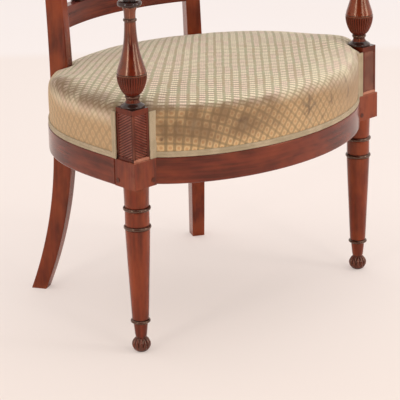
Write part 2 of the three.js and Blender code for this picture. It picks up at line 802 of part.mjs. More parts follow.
const eyeZ = lyreTop - lyreEye.radius;
const yokeZ = eyeZ - (eyeZ - armsBottom) * yoke.dropShare;

// Half the way between the arms' centre lines, where the yoke meets them
function yokeReach() {
  const points = lyreArmCurve().getSpacedPoints(10 * curveSteps);
  const near = points.filter((p) => Math.abs(p.z - yokeZ) < yoke.radius);
  return Math.min(...near.map((p) => p.x));
}

const onMiddle = (run, z) => onBack(run, z, lyre.setBack + lyre.thickness / 2);
const yokeY = (onMiddle(0, yokeZ).y + onMiddle(yokeReach(), yokeZ).y) / 2;

function lyreYoke() {
  const knop = { z: 0, height: yoke.knopLength, radius: yoke.knopRadius };
  const profile = [
    [yoke.radius, -yokeReach()], ...bead(knop, yoke.radius), [yoke.radius, yokeReach()],
  ];
  const bar = turned(profile, ringPoints).rotateY(Math.PI / 2).translate(0, yokeY, yokeZ);
  const arm = lyreArm(clearance);
  return cut(bar, arm, mirrored(arm), ...strings(stringSocket));
}

// A string is let into the base at its foot and into the yoke at its head
function lyreString(x, grow = 0) {
  const foot = onMiddle(x, baseBottom + lyreBase.height - string.socket - grow);
  const head = new THREE.Vector3(x, yokeY, yokeZ + grow);
  const ring = (centre) =>
    roundedRing(2 * (string.radius + grow), 2 * (string.radius + grow), 2, stringSides).map(
      ([right, behind]) => centre.clone().add(new THREE.Vector3(right, behind, 0)),
    );
  return loft([ring(foot), ring(head)]);
}

const stringSocket = (x) => lyreString(x, clearance);

// Upholstery

const hoopY = (x) => {
  const across = Math.min(1, Math.abs(x) / hoop.halfWidth) ** hoop.acrossPower;
  return hoop.centreY + hoop.depth * (1 - across) ** (1 / hoop.alongPower);
};
const places = (count, pitch, middle = 0) =>
  Array.from({ length: count }, (_, i) => middle + (i - (count - 1) / 2) * pitch);
const strapX = places(web.count, web.pitchX);
const strapY = places(web.count, web.pitchY, web.middleY);

// A strap from one end to the other: it rises over every second strap that it crosses
function strap(from, to, crossings, isOver, toPlace) {
  const half = web.width / 2;
  const flat = half + overrun;
  const stations = [[from, 0]];
  crossings.forEach((middle, i) => {
    const level = isOver(i) ? webRise : 0;
    const near = [flat + web.slope, flat, -flat, -flat - web.slope];
    near.forEach((step, k) => stations.push([middle - step, k === 1 || k === 2 ? level : 0]));
  });
  stations.push([to, 0]);
  const whole = loft(
    stations.map(([along, rise]) => {
      const z = webBottom + rise;
      const corners = [[-half, 0], [half, 0], [half, web.thickness], [-half, web.thickness]];
      return corners.map(([side, up]) => toPlace(along, side, z + up));
    }),
  );
  return cut(whole, ...seatCuts());
}

function strapAlong(i) {
  const x = strapX[i];
  const edge = Math.abs(x) + web.width / 2;
  const toPlace = (along, side, z) => new THREE.Vector3(x + side, along, z);
  const [from, to] = [bowY(edge) + web.setIn, hoopY(edge) - web.setIn];
  return strap(from, to, strapY, (j) => (i + j) % 2 === 0, toPlace);
}

function strapAcross(j) {
  const y = strapY[j];
  const reach = Math.min(hoopX(y - web.width / 2), hoopX(y + web.width / 2)) - web.setIn;
  const toPlace = (along, side, z) => new THREE.Vector3(along, y + side, z);
  return strap(-reach, reach, strapX, (i) => (i + j) % 2 === 1, toPlace);
}

// The closed outline of the seat, with square corners where the carved blocks stand
function seatOutline(setIn) {
  const front = bowCurve(postX - block.side / 2, setIn);
  const corner = point(hoop.halfWidth - setIn, front.at(-1).y);
  const rear = wholeHoop(carvedY[1] + clearance, setIn);
  return [...front, corner, ...rear, point(-corner.x, corner.y)];
}

function blockNotch() {
  const x = [postX + carvedX[0] - clearance, seat.width];
  return box(x, [-seat.width, carvedY[1] + clearance], [railTop, back.height]);
}

// The room that the disc at the foot of the baluster takes
function discNotch() {
  const radius = baluster.radius * discShare + clearance;
  return cylinder(radius, railTop, back.height, turnedSides).translate(balusterX, 0, 0);
}

function seatCuts() {
  const stileCut = postBetween(railTop - overrun, blockTop + cushion.crown, 3, clearance);
  const handed = [blockNotch(), discNotch(), stileCut];
  return [...handed, ...handed.map(mirrored)];
}

function hessianSheet() {
  const top = hessianBottom + hessian.thickness;
  return cut(raised(seatOutline(hessian.setIn), hessianBottom, top), ...seatCuts());
}

// The braid round the foot of the cover, with uprights beside the carved blocks
const gimpTop = gimpBottom + gimp.height;
const uprightTop = cushion.frontEdge - cushion.rollHeight;

function frontUpright(grow = 0) {
  const x = [postX - block.side / 2 - overrun - grow, postX + carvedX[0] - clearance + grow];
  const y = [-carvedFace - gimp.thickness - grow, -carvedFace + grow];
  return box(x, y, [gimpBottom - grow, uprightTop + grow]);
}

function sideUpright(grow = 0) {
  const outer = hoop.halfWidth - gimp.setIn;
  const start = carvedY[1] + clearance;
  const x = [outer - gimp.thickness - grow, outer + grow];
  return box(x, [start - grow, start + gimp.height + grow], [gimpBottom - grow, uprightTop + grow]);
}

function frontGimp() {
  const outer = bowCurve(postX - block.side / 2, gimp.setIn);
  const strip = raised(band(outer, gimp.thickness), gimpBottom, gimpTop);
  return join(strip, frontUpright(), mirrored(frontUpright()));
}

const hoopGimp = () =>
  raised(band(wholeHoop(carvedY[1] + clearance, gimp.setIn), gimp.thickness), gimpBottom, gimpTop);

function sideGimp() {
  const outside = besidePost(1, gimpBottom - overrun, gimpTop + overrun);
  return join(common(hoopGimp(), outside), sideUpright());
}

function rearGimp() {
  const inside = besidePost(-1, gimpBottom - overrun, gimpTop + overrun);
  return common(hoopGimp(), inside, mirrored(inside));
}

// The stuffed seat: an upright wall that swells a little, a rolled edge and a crown
function seatCushion() {
  const mix = (from, to, share) => from + (to - from) * share;
  const edgeAt = (p) => {
    if (p.y < 0 && Math.abs(p.x) < postX - block.side / 2) return cushion.frontEdge;
    const share = (p.y - railPlane) / (seat.rearReach - railPlane);
    return mix(cushion.sideEdge, cushion.rearEdge, Math.max(0, share));
  };
  const ringAt = (setIn, heightOf) =>
    seatOutline(setIn).map((p) => new THREE.Vector3(p.x, p.y, heightOf(p)));
  const wallTop = (p) => edgeAt(p) - cushion.rollHeight;
  const rings = [ringAt(cushion.setIn, () => cushionBottom)];
  wallShares.forEach((rise) => {
    const out = cushion.bulge * Math.sin(Math.PI * rise);
    rings.push(ringAt(cushion.setIn - out, (p) => mix(gimpTop + clearance, wallTop(p), rise)));
  });
  rollShares.forEach((share) => {
    const angle = (share * Math.PI) / 2;
    const setIn = cushion.setIn + cushion.roll * (1 - Math.cos(angle));
    rings.push(ringAt(setIn, (p) => wallTop(p) + cushion.rollHeight * Math.sin(angle)));
  });
  let rim = rings.at(-1);
  crownShares.forEach((share) => {
    rim = softened(softened(rim));
    const rise = cushion.crown * (1 - share ** 2);
    rings.push(
      rim.map((p) => {
        const z = mix(cushion.middle, p.z, share) + rise;
        return new THREE.Vector3(p.x * share, mix(cushion.crownY, p.y, share), z);
      }),
    );
  });
  const uprights = [frontUpright(clearance), sideUpright(clearance)];
  return cut(loft(rings), ...seatCuts(), ...uprights, ...uprights.map(mirrored));
}

// A ring with each point moved towards its neighbours
function softened(ring) {
  return ring.map((p, i) => {
    const neighbours = ring.at(i - 1).clone().add(ring[(i + 1) % ring.length]);
    return p.clone().multiplyScalar(2).add(neighbours).divideScalar(4);
  });
}

// Assembly

const chair = new THREE.Group();
const rightSide = new THREE.Group();
const leftSide = new THREE.Group();
leftSide.scale.x = -1;
chair.add(rightSide, leftSide);

function place(group, name, shape, material) {
  const mesh = new THREE.Mesh(geometryOf(solidOf(shape)), material);
  mesh.name = name;
  group.add(mesh);
}

function pair(name, shape, material) {
  place(rightSide, name + "_right", shape, material);
  place(leftSide, name + "_left", shape, material);
}

pair("front_post", frontPost(), mahogany);
pair("rear_post", rearPost(), mahogany);
place(chair, "front_seat_rail", frontRail(), mahogany);
pair("side_seat_rail", sideRail(), mahogany);
place(chair, "rear_seat_rail", rearRail(), mahogany);
pair("front_rail_peg", frontPeg(), ebonised);
pair("side_rail_peg", sidePeg(), ebonised);
place(chair, "lower_back_rail", lowerBackRail(), mahogany);
place(chair, "crest_rail", crestRail(), mahogany);
pair("armrest", armrest(), mahogany);
place(chair, "lyre_plinth", lyrePlinth(), ebonised);
place(chair, "lyre_base", lyreBaseBlock(), mahogany);
pair("lyre_arm", lyreArm(), mahogany);
pair("lyre_rosette", lyreRosette(), brass);
place(chair, "lyre_yoke", lyreYoke(), ebonised);
strings((x) => lyreString(x)).forEach((rod, i) => place(chair, "lyre_string_" + (i + 1), rod, brass));
strapX.forEach((_, i) => place(chair, "webbing_along_" + (i + 1), strapAlong(i), jute));
strapY.forEach((_, j) => place(chair, "webbing_across_" + (j + 1), strapAcross(j), jute));
place(chair, "seat_hessian", hessianSheet(), sacking);
place(chair, "seat_cushion", seatCushion(), cover);
place(chair, "gimp_front", frontGimp(), braid);
pair("gimp_side", sideGimp(), braid);
place(chair, "gimp_rear", rearGimp(), braid);

// The origin is on the floor, under the middle of the chair's outline
const outline = new THREE.Box3().setFromObject(chair, true);
chair.position.y = -(outline.min.y + outline.max.y) / 2;

export default chair;
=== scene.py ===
"""The lyre back armchair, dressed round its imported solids.

Sizes are written in millimetres, in the plan that the chair was drawn in: X = 0 is its middle,
Y = 0 the line of the front posts, and Z = 0 the floor. The drawing tools turn them into metres in
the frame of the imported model, whose origin lies under the middle of the chair's outline.
Handed pieces are modelled on the right, the side of +X, and copied and mirrored for the left.
"""
import json
import logging
import math
from collections.abc import Callable, Sequence
from dataclasses import dataclass, field
from enum import Enum, IntEnum

import bmesh
import bpy
import numpy as np
from mathutils import Matrix, Vector

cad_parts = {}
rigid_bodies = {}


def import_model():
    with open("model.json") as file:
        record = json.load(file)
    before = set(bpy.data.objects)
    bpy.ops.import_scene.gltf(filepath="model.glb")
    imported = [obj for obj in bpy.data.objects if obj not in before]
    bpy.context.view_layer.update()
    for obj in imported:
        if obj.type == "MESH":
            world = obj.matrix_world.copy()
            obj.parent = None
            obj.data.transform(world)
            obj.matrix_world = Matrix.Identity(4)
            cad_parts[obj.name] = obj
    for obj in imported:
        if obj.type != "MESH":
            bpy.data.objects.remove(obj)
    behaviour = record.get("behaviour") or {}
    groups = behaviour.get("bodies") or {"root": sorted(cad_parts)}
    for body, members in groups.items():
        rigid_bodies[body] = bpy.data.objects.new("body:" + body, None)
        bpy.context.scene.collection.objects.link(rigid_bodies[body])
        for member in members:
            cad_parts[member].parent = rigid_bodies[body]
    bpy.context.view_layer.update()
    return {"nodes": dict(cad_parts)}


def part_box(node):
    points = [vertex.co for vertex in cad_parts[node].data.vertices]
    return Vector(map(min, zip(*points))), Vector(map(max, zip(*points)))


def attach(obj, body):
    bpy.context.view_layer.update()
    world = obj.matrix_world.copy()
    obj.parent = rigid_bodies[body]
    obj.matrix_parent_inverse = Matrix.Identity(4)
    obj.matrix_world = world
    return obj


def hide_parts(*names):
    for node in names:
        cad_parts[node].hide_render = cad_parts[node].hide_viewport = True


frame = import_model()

logging.basicConfig(level=logging.INFO, format="%(message)s")
log = logging.getLogger("chair")

MM = 0.001
SAME = 1e-6  # places closer than this, in metres, are one
MIDDLE_Y = 141.66  # how far the front posts' line stands before the middle of the outline
ROOT = "root"
ORIGIN = Vector((0, 0, 0))
UP = Vector((0, 0, 1))
QUARTER = math.pi / 2
LOBE_ROUNDING = 0.8  # below 1, the lobes are rounder and their grooves narrower
BLOCK_RING, BLOCK_RINGS = 0.8, 3  # rings of faces along a block's arrises: width past the bevel, number
LEAST_PRESS = 1e-4  # a groove shallower than this, in millimetres, is left out
AXIS = (0, MIDDLE_Y)  # the frame's upright axis, in the plan

Row = tuple[float, float]
Outline = list[Row]
Triple = tuple[float, float, float]
Mesh = bpy.types.Object


def at(x: float, y: float, z: float) -> Vector:
    """A place of the plan, in millimetres, as a point of the frame in metres."""
    return Vector((x * MM, (y - MIDDLE_Y) * MM, z * MM))


def mix(start: float, end: float, share: float) -> float:
    """The value a share of the way from start to end."""
    return start + (end - start) * share


def limited(value: float) -> float:
    """A value kept between 0 and 1."""
    return min(1.0, max(0.0, value))


def ramp(values: np.ndarray, start: float, end: float) -> np.ndarray:
    """How far values have come on the way from start to end, kept between 0 and 1."""
    return np.clip((values - start) / (end - start), 0, 1)


def mirrored(p: Vector) -> Vector:
    """A place on the other side of the chair."""
    return Vector((-p.x, p.y, p.z))


# Drawing tools


def put_down() -> None:
    """Closes any mesh that is open for editing and leaves nothing selected."""
    if bpy.context.mode != "OBJECT":
        bpy.ops.object.mode_set(mode="OBJECT")
    bpy.ops.object.select_all(action="DESELECT")


def take_up(piece: Mesh, edit: bool = False) -> None:
    """Selects one piece alone.

    Args:
        piece: The piece to work on.
        edit: Whether to open its mesh, with all of it selected.
    """
    put_down()
    piece.select_set(True)
    bpy.context.view_layer.objects.active = piece
    if edit:
        bpy.ops.object.mode_set(mode="EDIT")
        bpy.ops.mesh.select_all(action="SELECT")


def drawn(name: str) -> Mesh:
    """The object that the last primitive made, named and closed, with its place in its mesh."""
    piece = bpy.context.object
    put_down()
    piece.name = piece.data.name = name
    piece.select_set(True)
    bpy.ops.object.transform_apply(location=True, rotation=True, scale=True)
    piece.select_set(False)
    return piece


def choose(piece: Mesh, test: Callable[[Vector], bool]) -> None:
    """Selects the corners of the open mesh whose place passes a test, and no others."""
    mesh = bmesh.from_edit_mesh(piece.data)
    for corner in mesh.verts:
        corner.select_set(test(corner.co))
    mesh.select_flush_mode()
    bmesh.update_edit_mesh(piece.data)


def extrude(step: Vector | Triple) -> None:
    """Extrudes what is selected by a step."""
    bpy.ops.mesh.extrude_region_move(TRANSFORM_OT_translate={"value": step})


def turn(angle: float, axis: str, centre: Vector) -> None:
    """Turns what is selected about a frame axis, anticlockwise; without a window the operator
    turns the other way."""
    bpy.ops.transform.rotate(value=-angle, orient_axis=axis, orient_type="GLOBAL", center_override=centre)


def scale_about(factors: Triple, centre: Vector, axes: Matrix | None = None) -> None:
    """Scales what is selected about a centre, along the frame's axes or others."""
    own = {} if axes is None else {"orient_matrix": axes, "orient_matrix_type": "GLOBAL"}
    bpy.ops.transform.resize(value=factors, orient_type="GLOBAL", center_override=centre, **own)


def lay(piece: Mesh, turns: Sequence[tuple[float, str]], place: Vector) -> Mesh:
    """Turns a form about the frame's axes, one after the other, and moves it to its place."""
    take_up(piece, edit=True)
    for angle, axis in turns:
        turn(angle, axis, ORIGIN)
    bpy.ops.transform.translate(value=place)
    put_down()
    return piece


def trace(name: str, points: Sequence[Vector]) -> Mesh:
    """Draws a closed face corner by corner and leaves it open for editing, all selected."""
    put_down()
    bpy.ops.mesh.primitive_plane_add(size=MM, location=points[0])
    piece = bpy.context.object
    piece.name = name
    bpy.ops.object.transform_apply(location=True, rotation=True, scale=True)
    bpy.ops.object.mode_set(mode="EDIT")
    bpy.ops.mesh.merge(type="CENTER")
    for before, after in zip(points, points[1:]):
        extrude(after - before)
    bpy.ops.mesh.select_all(action="SELECT")
    bpy.ops.mesh.edge_face_add()
    return piece


@dataclass(frozen=True)
class Station:
    """One place along a swept bar: where its section stands, and how large it is there."""

    frame: Matrix
    width: float = 1.0
    height: float = 1.0


def facing(place: Vector, ahead: Vector, up: Vector = UP) -> Matrix:
    """A frame at a place whose Z runs ahead, whose X runs across and whose Y is nearly up."""
    forward = ahead.normalized()
    across = forward.cross(up).normalized()
    rise = across.cross(forward)
    return Matrix.Translation(place) @ Matrix((across, rise, forward)).transposed().to_4x4()


def sweep(name: str, outline: Outline, stations: Sequence[Station], lay_grain: bool = True) -> Mesh:
    """Draws a section and extrudes it from station to station, turned and scaled at each.

    Args:
        name: The piece's name.
        outline: Corners of the section, in millimetres across and up at size 1.
        stations: Where the section stands along the bar.
        lay_grain: Whether to lay a UV map with U along the bar and V round it, in metres.

    Returns:
        The piece, closed at both ends.
    """
    first = stations[0]
    trace(name, [first.frame @ Vector((u * first.width * MM, v * first.height * MM, 0)) for u, v in outline])
    run = [0.0]
    for before, after in zip(stations, stations[1:]):
        centre = before.frame.translation
        step = after.frame.translation - centre
        run.append(run[-1] + step.length)
        bpy.ops.mesh.extrude_region_move()
        spin = after.frame.to_3x3() @ before.frame.to_3x3().transposed()
        for axis, angle in zip("XYZ", spin.to_euler("XYZ")):
            if abs(angle) > SAME:
                turn(angle, axis, centre)
        factors = (after.width / before.width, after.height / before.height, 1.0)
        if factors != (1.0, 1.0, 1.0):
            scale_about(factors, centre, after.frame.to_3x3())
        bpy.ops.transform.translate(value=step)
    piece = drawn(name)
    if lay_grain:
        lay_uv(piece, stations, outline, run)
    return piece


def lay_uv(piece: Mesh, stations: Sequence[Station], outline: Outline, run: Sequence[float]) -> None:
    """Lays a UV map on a swept bar: U is the way along it and V the way round it, in metres."""
    frames = [station.frame.inverted() for station in stations]
    places = np.array([s.frame.translation for s in stations])
    reach = max(max(abs(u), abs(v)) for u, v in outline) * MM
    layer = piece.data.uv_layers.new(name="grain").data
    for loop in piece.data.loops:
        co = piece.data.vertices[loop.vertex_index].co
        near = int(np.argmin(((places - np.array(co)) ** 2).sum(axis=1)))
        local = frames[near] @ co
        layer[loop.index].uv = (run[near] + local.z, math.atan2(local.y, local.x) * reach)


def lathe(name: str, rows: Sequence[Row], sides: int, centre: Row = (0, 0)) -> Mesh:
    """Turns a profile about an upright line, as a circle extruded and resized row by row.

    Args:
        name: The piece's name.
        rows: Radius and height of each row, from the lowest up.
        sides: The number of sides of the circle.
        centre: Where the line stands in plan.

    Returns:
        The piece, closed at both ends.
    """
    put_down()
    radius, height = rows[0]
    place = at(*centre, height)
    bpy.ops.mesh.primitive_circle_add(vertices=sides, radius=radius * MM, fill_type="NGON", location=place)
    bpy.ops.object.transform_apply(location=True, rotation=True, scale=True)
    bpy.ops.object.mode_set(mode="EDIT")
    bpy.ops.mesh.select_all(action="SELECT")
    for new_radius, new_height in rows[1:]:
        extrude((0, 0, (new_height - height) * MM))
        grow = new_radius / radius
        scale_about((grow, grow, 1), at(*centre, new_height))
        radius, height = new_radius, new_height
    return drawn(name)


def carve_lobes(piece: Mesh, lobes: int, rows: Sequence[Triple], centre: Row) -> None:
    """Presses grooves into a turned form, row by row, by pulling their corners to its axis.

    Args:
        piece: The turned form; its number of sides is a multiple of the lobes.
        lobes: How many lobes stand round it.
        rows: Radius, height and groove depth of each row to carve.
        centre: Where the axis stands in plan.
    """
    take_up(piece, edit=True)
    mesh = bmesh.from_edit_mesh(piece.data)
    middle = at(*centre, 0)
    sides = sum(1 for v in mesh.verts if abs(v.co.z - rows[0][1] * MM) < SAME)
    steps = sides // lobes
    by_class: dict[tuple[int, int], list[int]] = {}
    for corner in mesh.verts:
        for number, (_, height, depth) in enumerate(rows):
            if depth and abs(corner.co.z - height * MM) < SAME:
                angle = math.atan2(corner.co.y - middle.y, corner.co.x - middle.x)
                phase = round(angle / math.tau * sides) % steps
                by_class.setdefault((number, min(phase, steps - phase)), []).append(corner.index)
    for (number, phase), corners in by_class.items():
        radius, height, depth = rows[number]
        pressed = depth * (1 - abs(math.sin(math.pi * phase / steps)) ** LOBE_ROUNDING)
        if pressed < LEAST_PRESS:
            continue
        mesh = bmesh.from_edit_mesh(piece.data)
        mesh.verts.ensure_lookup_table()
        bpy.ops.mesh.select_all(action="DESELECT")
        for index in corners:
            mesh.verts[index].select_set(True)
        shrink = 1 - pressed / radius
        scale_about((shrink, shrink, 1), at(*centre, height))
    put_down()


def block(name: str, x: Row, y: Row, z: Row, bevel: float) -> Mesh:
    """A squared block between three pairs of planes, with its arrises eased."""
    put_down()
    middle = at(sum(x) / 2, sum(y) / 2, sum(z) / 2)
    size = [(span[1] - span[0]) * MM for span in (x, y, z)]
    bpy.ops.mesh.primitive_cube_add(size=1, location=middle)
    scale_about(tuple(size), middle)
    take_up(bpy.context.object, edit=True)
    ring = min(bevel + BLOCK_RING, min(size) / MM / 8) * MM
    for _ in range(BLOCK_RINGS):
        bpy.ops.mesh.inset(thickness=ring, use_individual=True)
    piece = drawn(name)
    ease(piece, bevel)
    return piece


def ease(piece: Mesh, width: float, segments: int = 2, angle: float = 40) -> None:
    """Rounds the arrises of a piece that are sharper than an angle in degrees."""
    take_up(piece)
    bpy.ops.object.modifier_add(type="BEVEL")
    bevel = piece.modifiers[-1]
    bevel.width, bevel.segments, bevel.limit_method = width * MM, segments, "ANGLE"
    bevel.angle_limit, bevel.harden_normals = math.radians(angle), False
    bpy.ops.object.modifier_apply(modifier=bevel.name)
    put_down()


def trim(piece: Mesh, place: Vector, away: Vector) -> None:
    """Cuts off all of a piece that lies beyond a plane, and closes it there."""
    take_up(piece, edit=True)
    bpy.ops.mesh.bisect(plane_co=place, plane_no=away, use_fill=True, clear_outer=True)
    put_down()


def joined(name: str, parts: Sequence[Mesh]) -> Mesh:
    """Joins parts into one piece with the first one's name and all their materials."""
    take_up(parts[0])
    for part in parts[1:]:
        part.select_set(True)
    bpy.ops.object.join()
    return drawn(name)


def tidied(piece: Mesh, smooth: float) -> Mesh:
    """Merges a piece's doubles, turns its faces outwards and shades it smooth below an angle."""
    take_up(piece, edit=True)
    bpy.ops.mesh.remove_doubles(threshold=SAME)
    bpy.ops.mesh.normals_make_consistent(inside=False)
    put_down()
    piece.select_set(True)
    bpy.context.view_layer.objects.active = piece
    bpy.ops.object.shade_smooth_by_angle(angle=math.radians(smooth), keep_sharp_edges=False)
    put_down()
    return piece


def copied(piece: Mesh, name: str) -> Mesh:
    """A copy of a piece with its own mesh, mirrored to the left side."""
    take_up(piece)
    bpy.ops.object.duplicate(linked=False)
    twin = bpy.context.object
    twin.scale.x = -1
    bpy.ops.object.transform_apply(location=True, rotation=True, scale=True)
    twin.name = twin.data.name = name
    take_up(twin, edit=True)
    bpy.ops.mesh.normals_make_consistent(inside=False)
    put_down()
    return twin


def paint(piece: Mesh, *finishes: bpy.types.Material) -> None:
    """Gives a piece its materials, in place of any that it has."""
    piece.data.materials.clear()
    for material in finishes:
        piece.data.materials.append(material)


def paint_where(piece: Mesh, number: int, test: Callable[[Vector], bool]) -> None:
    """Gives the faces whose middle passes a test the piece's material of that number."""
    for face in piece.data.polygons:
        if test(face.center):
            face.material_index = number


def set_in_place(piece: Mesh, slot: str, *nodes: str) -> None:
    """Rides a finished piece on the chair, and hides the nodes that it stands for."""
    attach(piece, ROOT)
    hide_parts(*nodes)
    log.info("%s: %d faces", piece.name, len(piece.data.polygons))


def set_pair(right: Mesh, slot: str, node: str) -> None:
    """Copies a right-hand piece for the left, and sets both in the place of their nodes."""
    left = copied(right, right.name.replace("right", "left"))
    for piece, side in ((right, "right"), (left, "left")):
        set_in_place(piece, slot, f"{node}_{side}")


def dress(
    piece: Mesh, smooth: float, finish: bpy.types.Material, slot: str, node: str, pair: bool = False
) -> None:
    """Tidies and paints a piece, and sets it in place.

    Args:
        piece: The finished form.
        smooth: The angle in degrees below which it is shaded smooth.
        finish: Its one material.
        slot: Its material slot's name in the library; not used.
        node: The node that it stands for.
        pair: Whether it is the right one of a pair, so that it is copied for the left.
    """
    paint(tidied(piece, smooth), finish)
    if pair:
        set_pair(piece, slot, node)
    else:
        set_in_place(piece, slot, node)


def eased_outline(width: float, height: float, radius: float, steps: int) -> Outline:
    """The corners of an upright rectangle about the origin, with rounded corners; beside each
    stands one more on the flat, where there is room."""
    corners: Outline = []
    beside = 1.5
    has_room = min(width, height) > 2 * radius + 4 * beside
    for quarter, (sx, sy) in enumerate([(1, 1), (-1, 1), (-1, -1), (1, -1)]):
        arc = [QUARTER * (quarter + step / steps) for step in range(steps + 1)]
        x, y = sx * (width / 2 - radius), sy * (height / 2 - radius)
        round_it = [(x + radius * math.cos(a), y + radius * math.sin(a)) for a in arc]
        if has_room:
            (x0, y0), (x1, y1) = round_it[0], round_it[-1]
            first, last = (x0 - sx * beside, y0), (x1, y1 - sy * beside)
            if quarter % 2 == 0:
                first, last = (x0, y0 - sy * beside), (x1 - sx * beside, y1)
            round_it = [first, *round_it, last]
        corners += round_it
    return corners


def bead_rows(radius: float, middle: float, height: float, root: float, steps: int = 8) -> list[Row]:
    """Rows of a turned bead, from its foot to its head."""
    return [
        (root + (radius - root) * math.sin(math.pi * i / steps),
         middle - height / 2 * math.cos(math.pi * i / steps))
        for i in range(steps + 1)
    ]


def smooth_rows(rows: Sequence[Row], steps: int) -> list[Row]:
    """Rows of a smooth curve through turned rows."""
    curve = smooth_path([Vector((r, 0, z)) for r, z in rows], steps)
    return [(p.x, p.z) for p in curve]


def smooth_path(points: Sequence[Vector], steps: int) -> list[Vector]:
    """A centripetal curve through points.

    Args:
        points: The points that it passes.
        steps: The number of steps between two of them.

    Returns:
        The curve's points, the given ones among them.
    """
    ends = [2 * points[0] - points[1], *points, 2 * points[-1] - points[-2]]
    curve: list[Vector] = []
    for before, start, end, after in zip(ends, ends[1:], ends[2:], ends[3:]):
        gaps = [max(1e-4, (b - a).length ** 0.5) for a, b in ((before, start), (start, end), (end, after))]
        leave = (start - before) / gaps[0] - (end - before) / (gaps[0] + gaps[1]) + (end - start) / gaps[1]
        arrive = (end - start) / gaps[1] - (after - start) / (gaps[1] + gaps[2]) + (after - end) / gaps[2]
        leave, arrive = leave * gaps[1], arrive * gaps[1]
        for step in range(steps):
            t = step / steps
            curve.append(
                start * (2 * t**3 - 3 * t**2 + 1) + leave * (t**3 - 2 * t**2 + t)
                + end * (3 * t**2 - 2 * t**3) + arrive * (t**3 - t**2)
            )
    return [*curve, points[-1].copy()]


def even_path(points: Sequence[Vector], count: int) -> list[Vector]:
    """Points at even steps along a curve that is given by many points."""
    run = np.cumsum([0.0, *[(b - a).length for a, b in zip(points, points[1:])]])
    axes = np.array(points)
    wanted = np.linspace(0, run[-1], count)
    return [Vector(p) for p in np.stack([np.interp(wanted, run, axes[:, i]) for i in range(3)], axis=1)]


def along(points: Sequence[Vector], sizes: Callable[[float], Row] | None = None) -> list[Station]:
    """Stations on a path, each section square to it.

    Args:
        points: The path, in metres.
        sizes: Width and height factors from the share of the way along.

    Returns:
        A station at each point.
    """
    stations = []
    last = len(points) - 1
    for i, place in enumerate(points):
        ahead = points[min(last, i + 1)] - points[max(0, i - 1)]
        width, height = sizes(i / last) if sizes else (1.0, 1.0)
        stations.append(Station(facing(place, ahead), width, height))
    return stations


def shares_across(steps: int) -> list[float]:
    """Even shares from -1 to 1."""
    return [2 * i / steps - 1 for i in range(steps + 1)]


# Curves of the chair


@dataclass(frozen=True)
class SeatPlan:
    """The plan of the seat: a bow in front, and one hoop round its sides and back."""

    post_x: float = 261.5
    block: float = 47.0
    bow_half: float = 275.02
    bow_depth: float = 185.0
    bow_centre: float = 70.0
    hoop_half: float = 286.0
    hoop_depth: float = 344.8
    hoop_centre: float = 17.8
    across_power: float = 1.69
    along_power: float = 3.18
    bottom: float = 284.7
    top: float = 329.0
    carved: Row = (33.0, 39.4)
    carved_set_in: float = 2.7

    @property
    def carved_face(self) -> float:
        """How far the faces of the carved block stand from the middle of the seat block."""
        return self.block / 2 - self.carved_set_in

    def bow(self, x: float) -> float:
        """How far forward the bow stands beside the middle."""
        return self.bow_centre - self.bow_depth * math.sqrt(max(0.0, 1 - (x / self.bow_half) ** 2))

    def bow_line(self, reach: float, count: int, inward: float, z: float) -> list[Vector]:
        """Points on the bow from left to right, moved inward, at a height."""
        end = math.asin(min(1.0, reach / self.bow_half))
        curve = []
        for i in range(count + 1):
            x = self.bow_half * math.sin(end * (2 * i / count - 1))
            y = self.bow(x)
            out = Vector((x / self.bow_half**2, (y - self.bow_centre) / self.bow_depth**2)).normalized()
            curve.append(at(x - inward * out.x, y - inward * out.y, z))
        return curve

    def hoop_x(self, y: float) -> float:
        """How far out the hoop stands at a place along the seat."""
        share = min(1.0, abs(y - self.hoop_centre) / self.hoop_depth)
        return self.hoop_half * (1 - share**self.along_power) ** (1 / self.across_power)

    def hoop_line(self, from_y: float, inward: float, z: float, count: int = 48) -> list[Vector]:
        """Points on the hoop's right half, from beside the front post to the middle of the back."""
        start = math.asin((from_y - self.hoop_centre) / self.hoop_depth)
        flat = []
        for i in range(count + 1):
            y = self.hoop_centre + self.hoop_depth * math.sin(mix(start, QUARTER, i / count))
            flat.append(Vector((self.hoop_x(y) if i < count else 0.0, y)))
        curve = []
        for i, p in enumerate(flat):
            ahead = (flat[min(count, i + 1)] - flat[max(0, i - 1)]).normalized()
            if i == count:
                ahead = Vector((-1.0, 0.0))
            curve.append(at(p.x - ahead.y * inward, p.y + ahead.x * inward, z))
        return curve


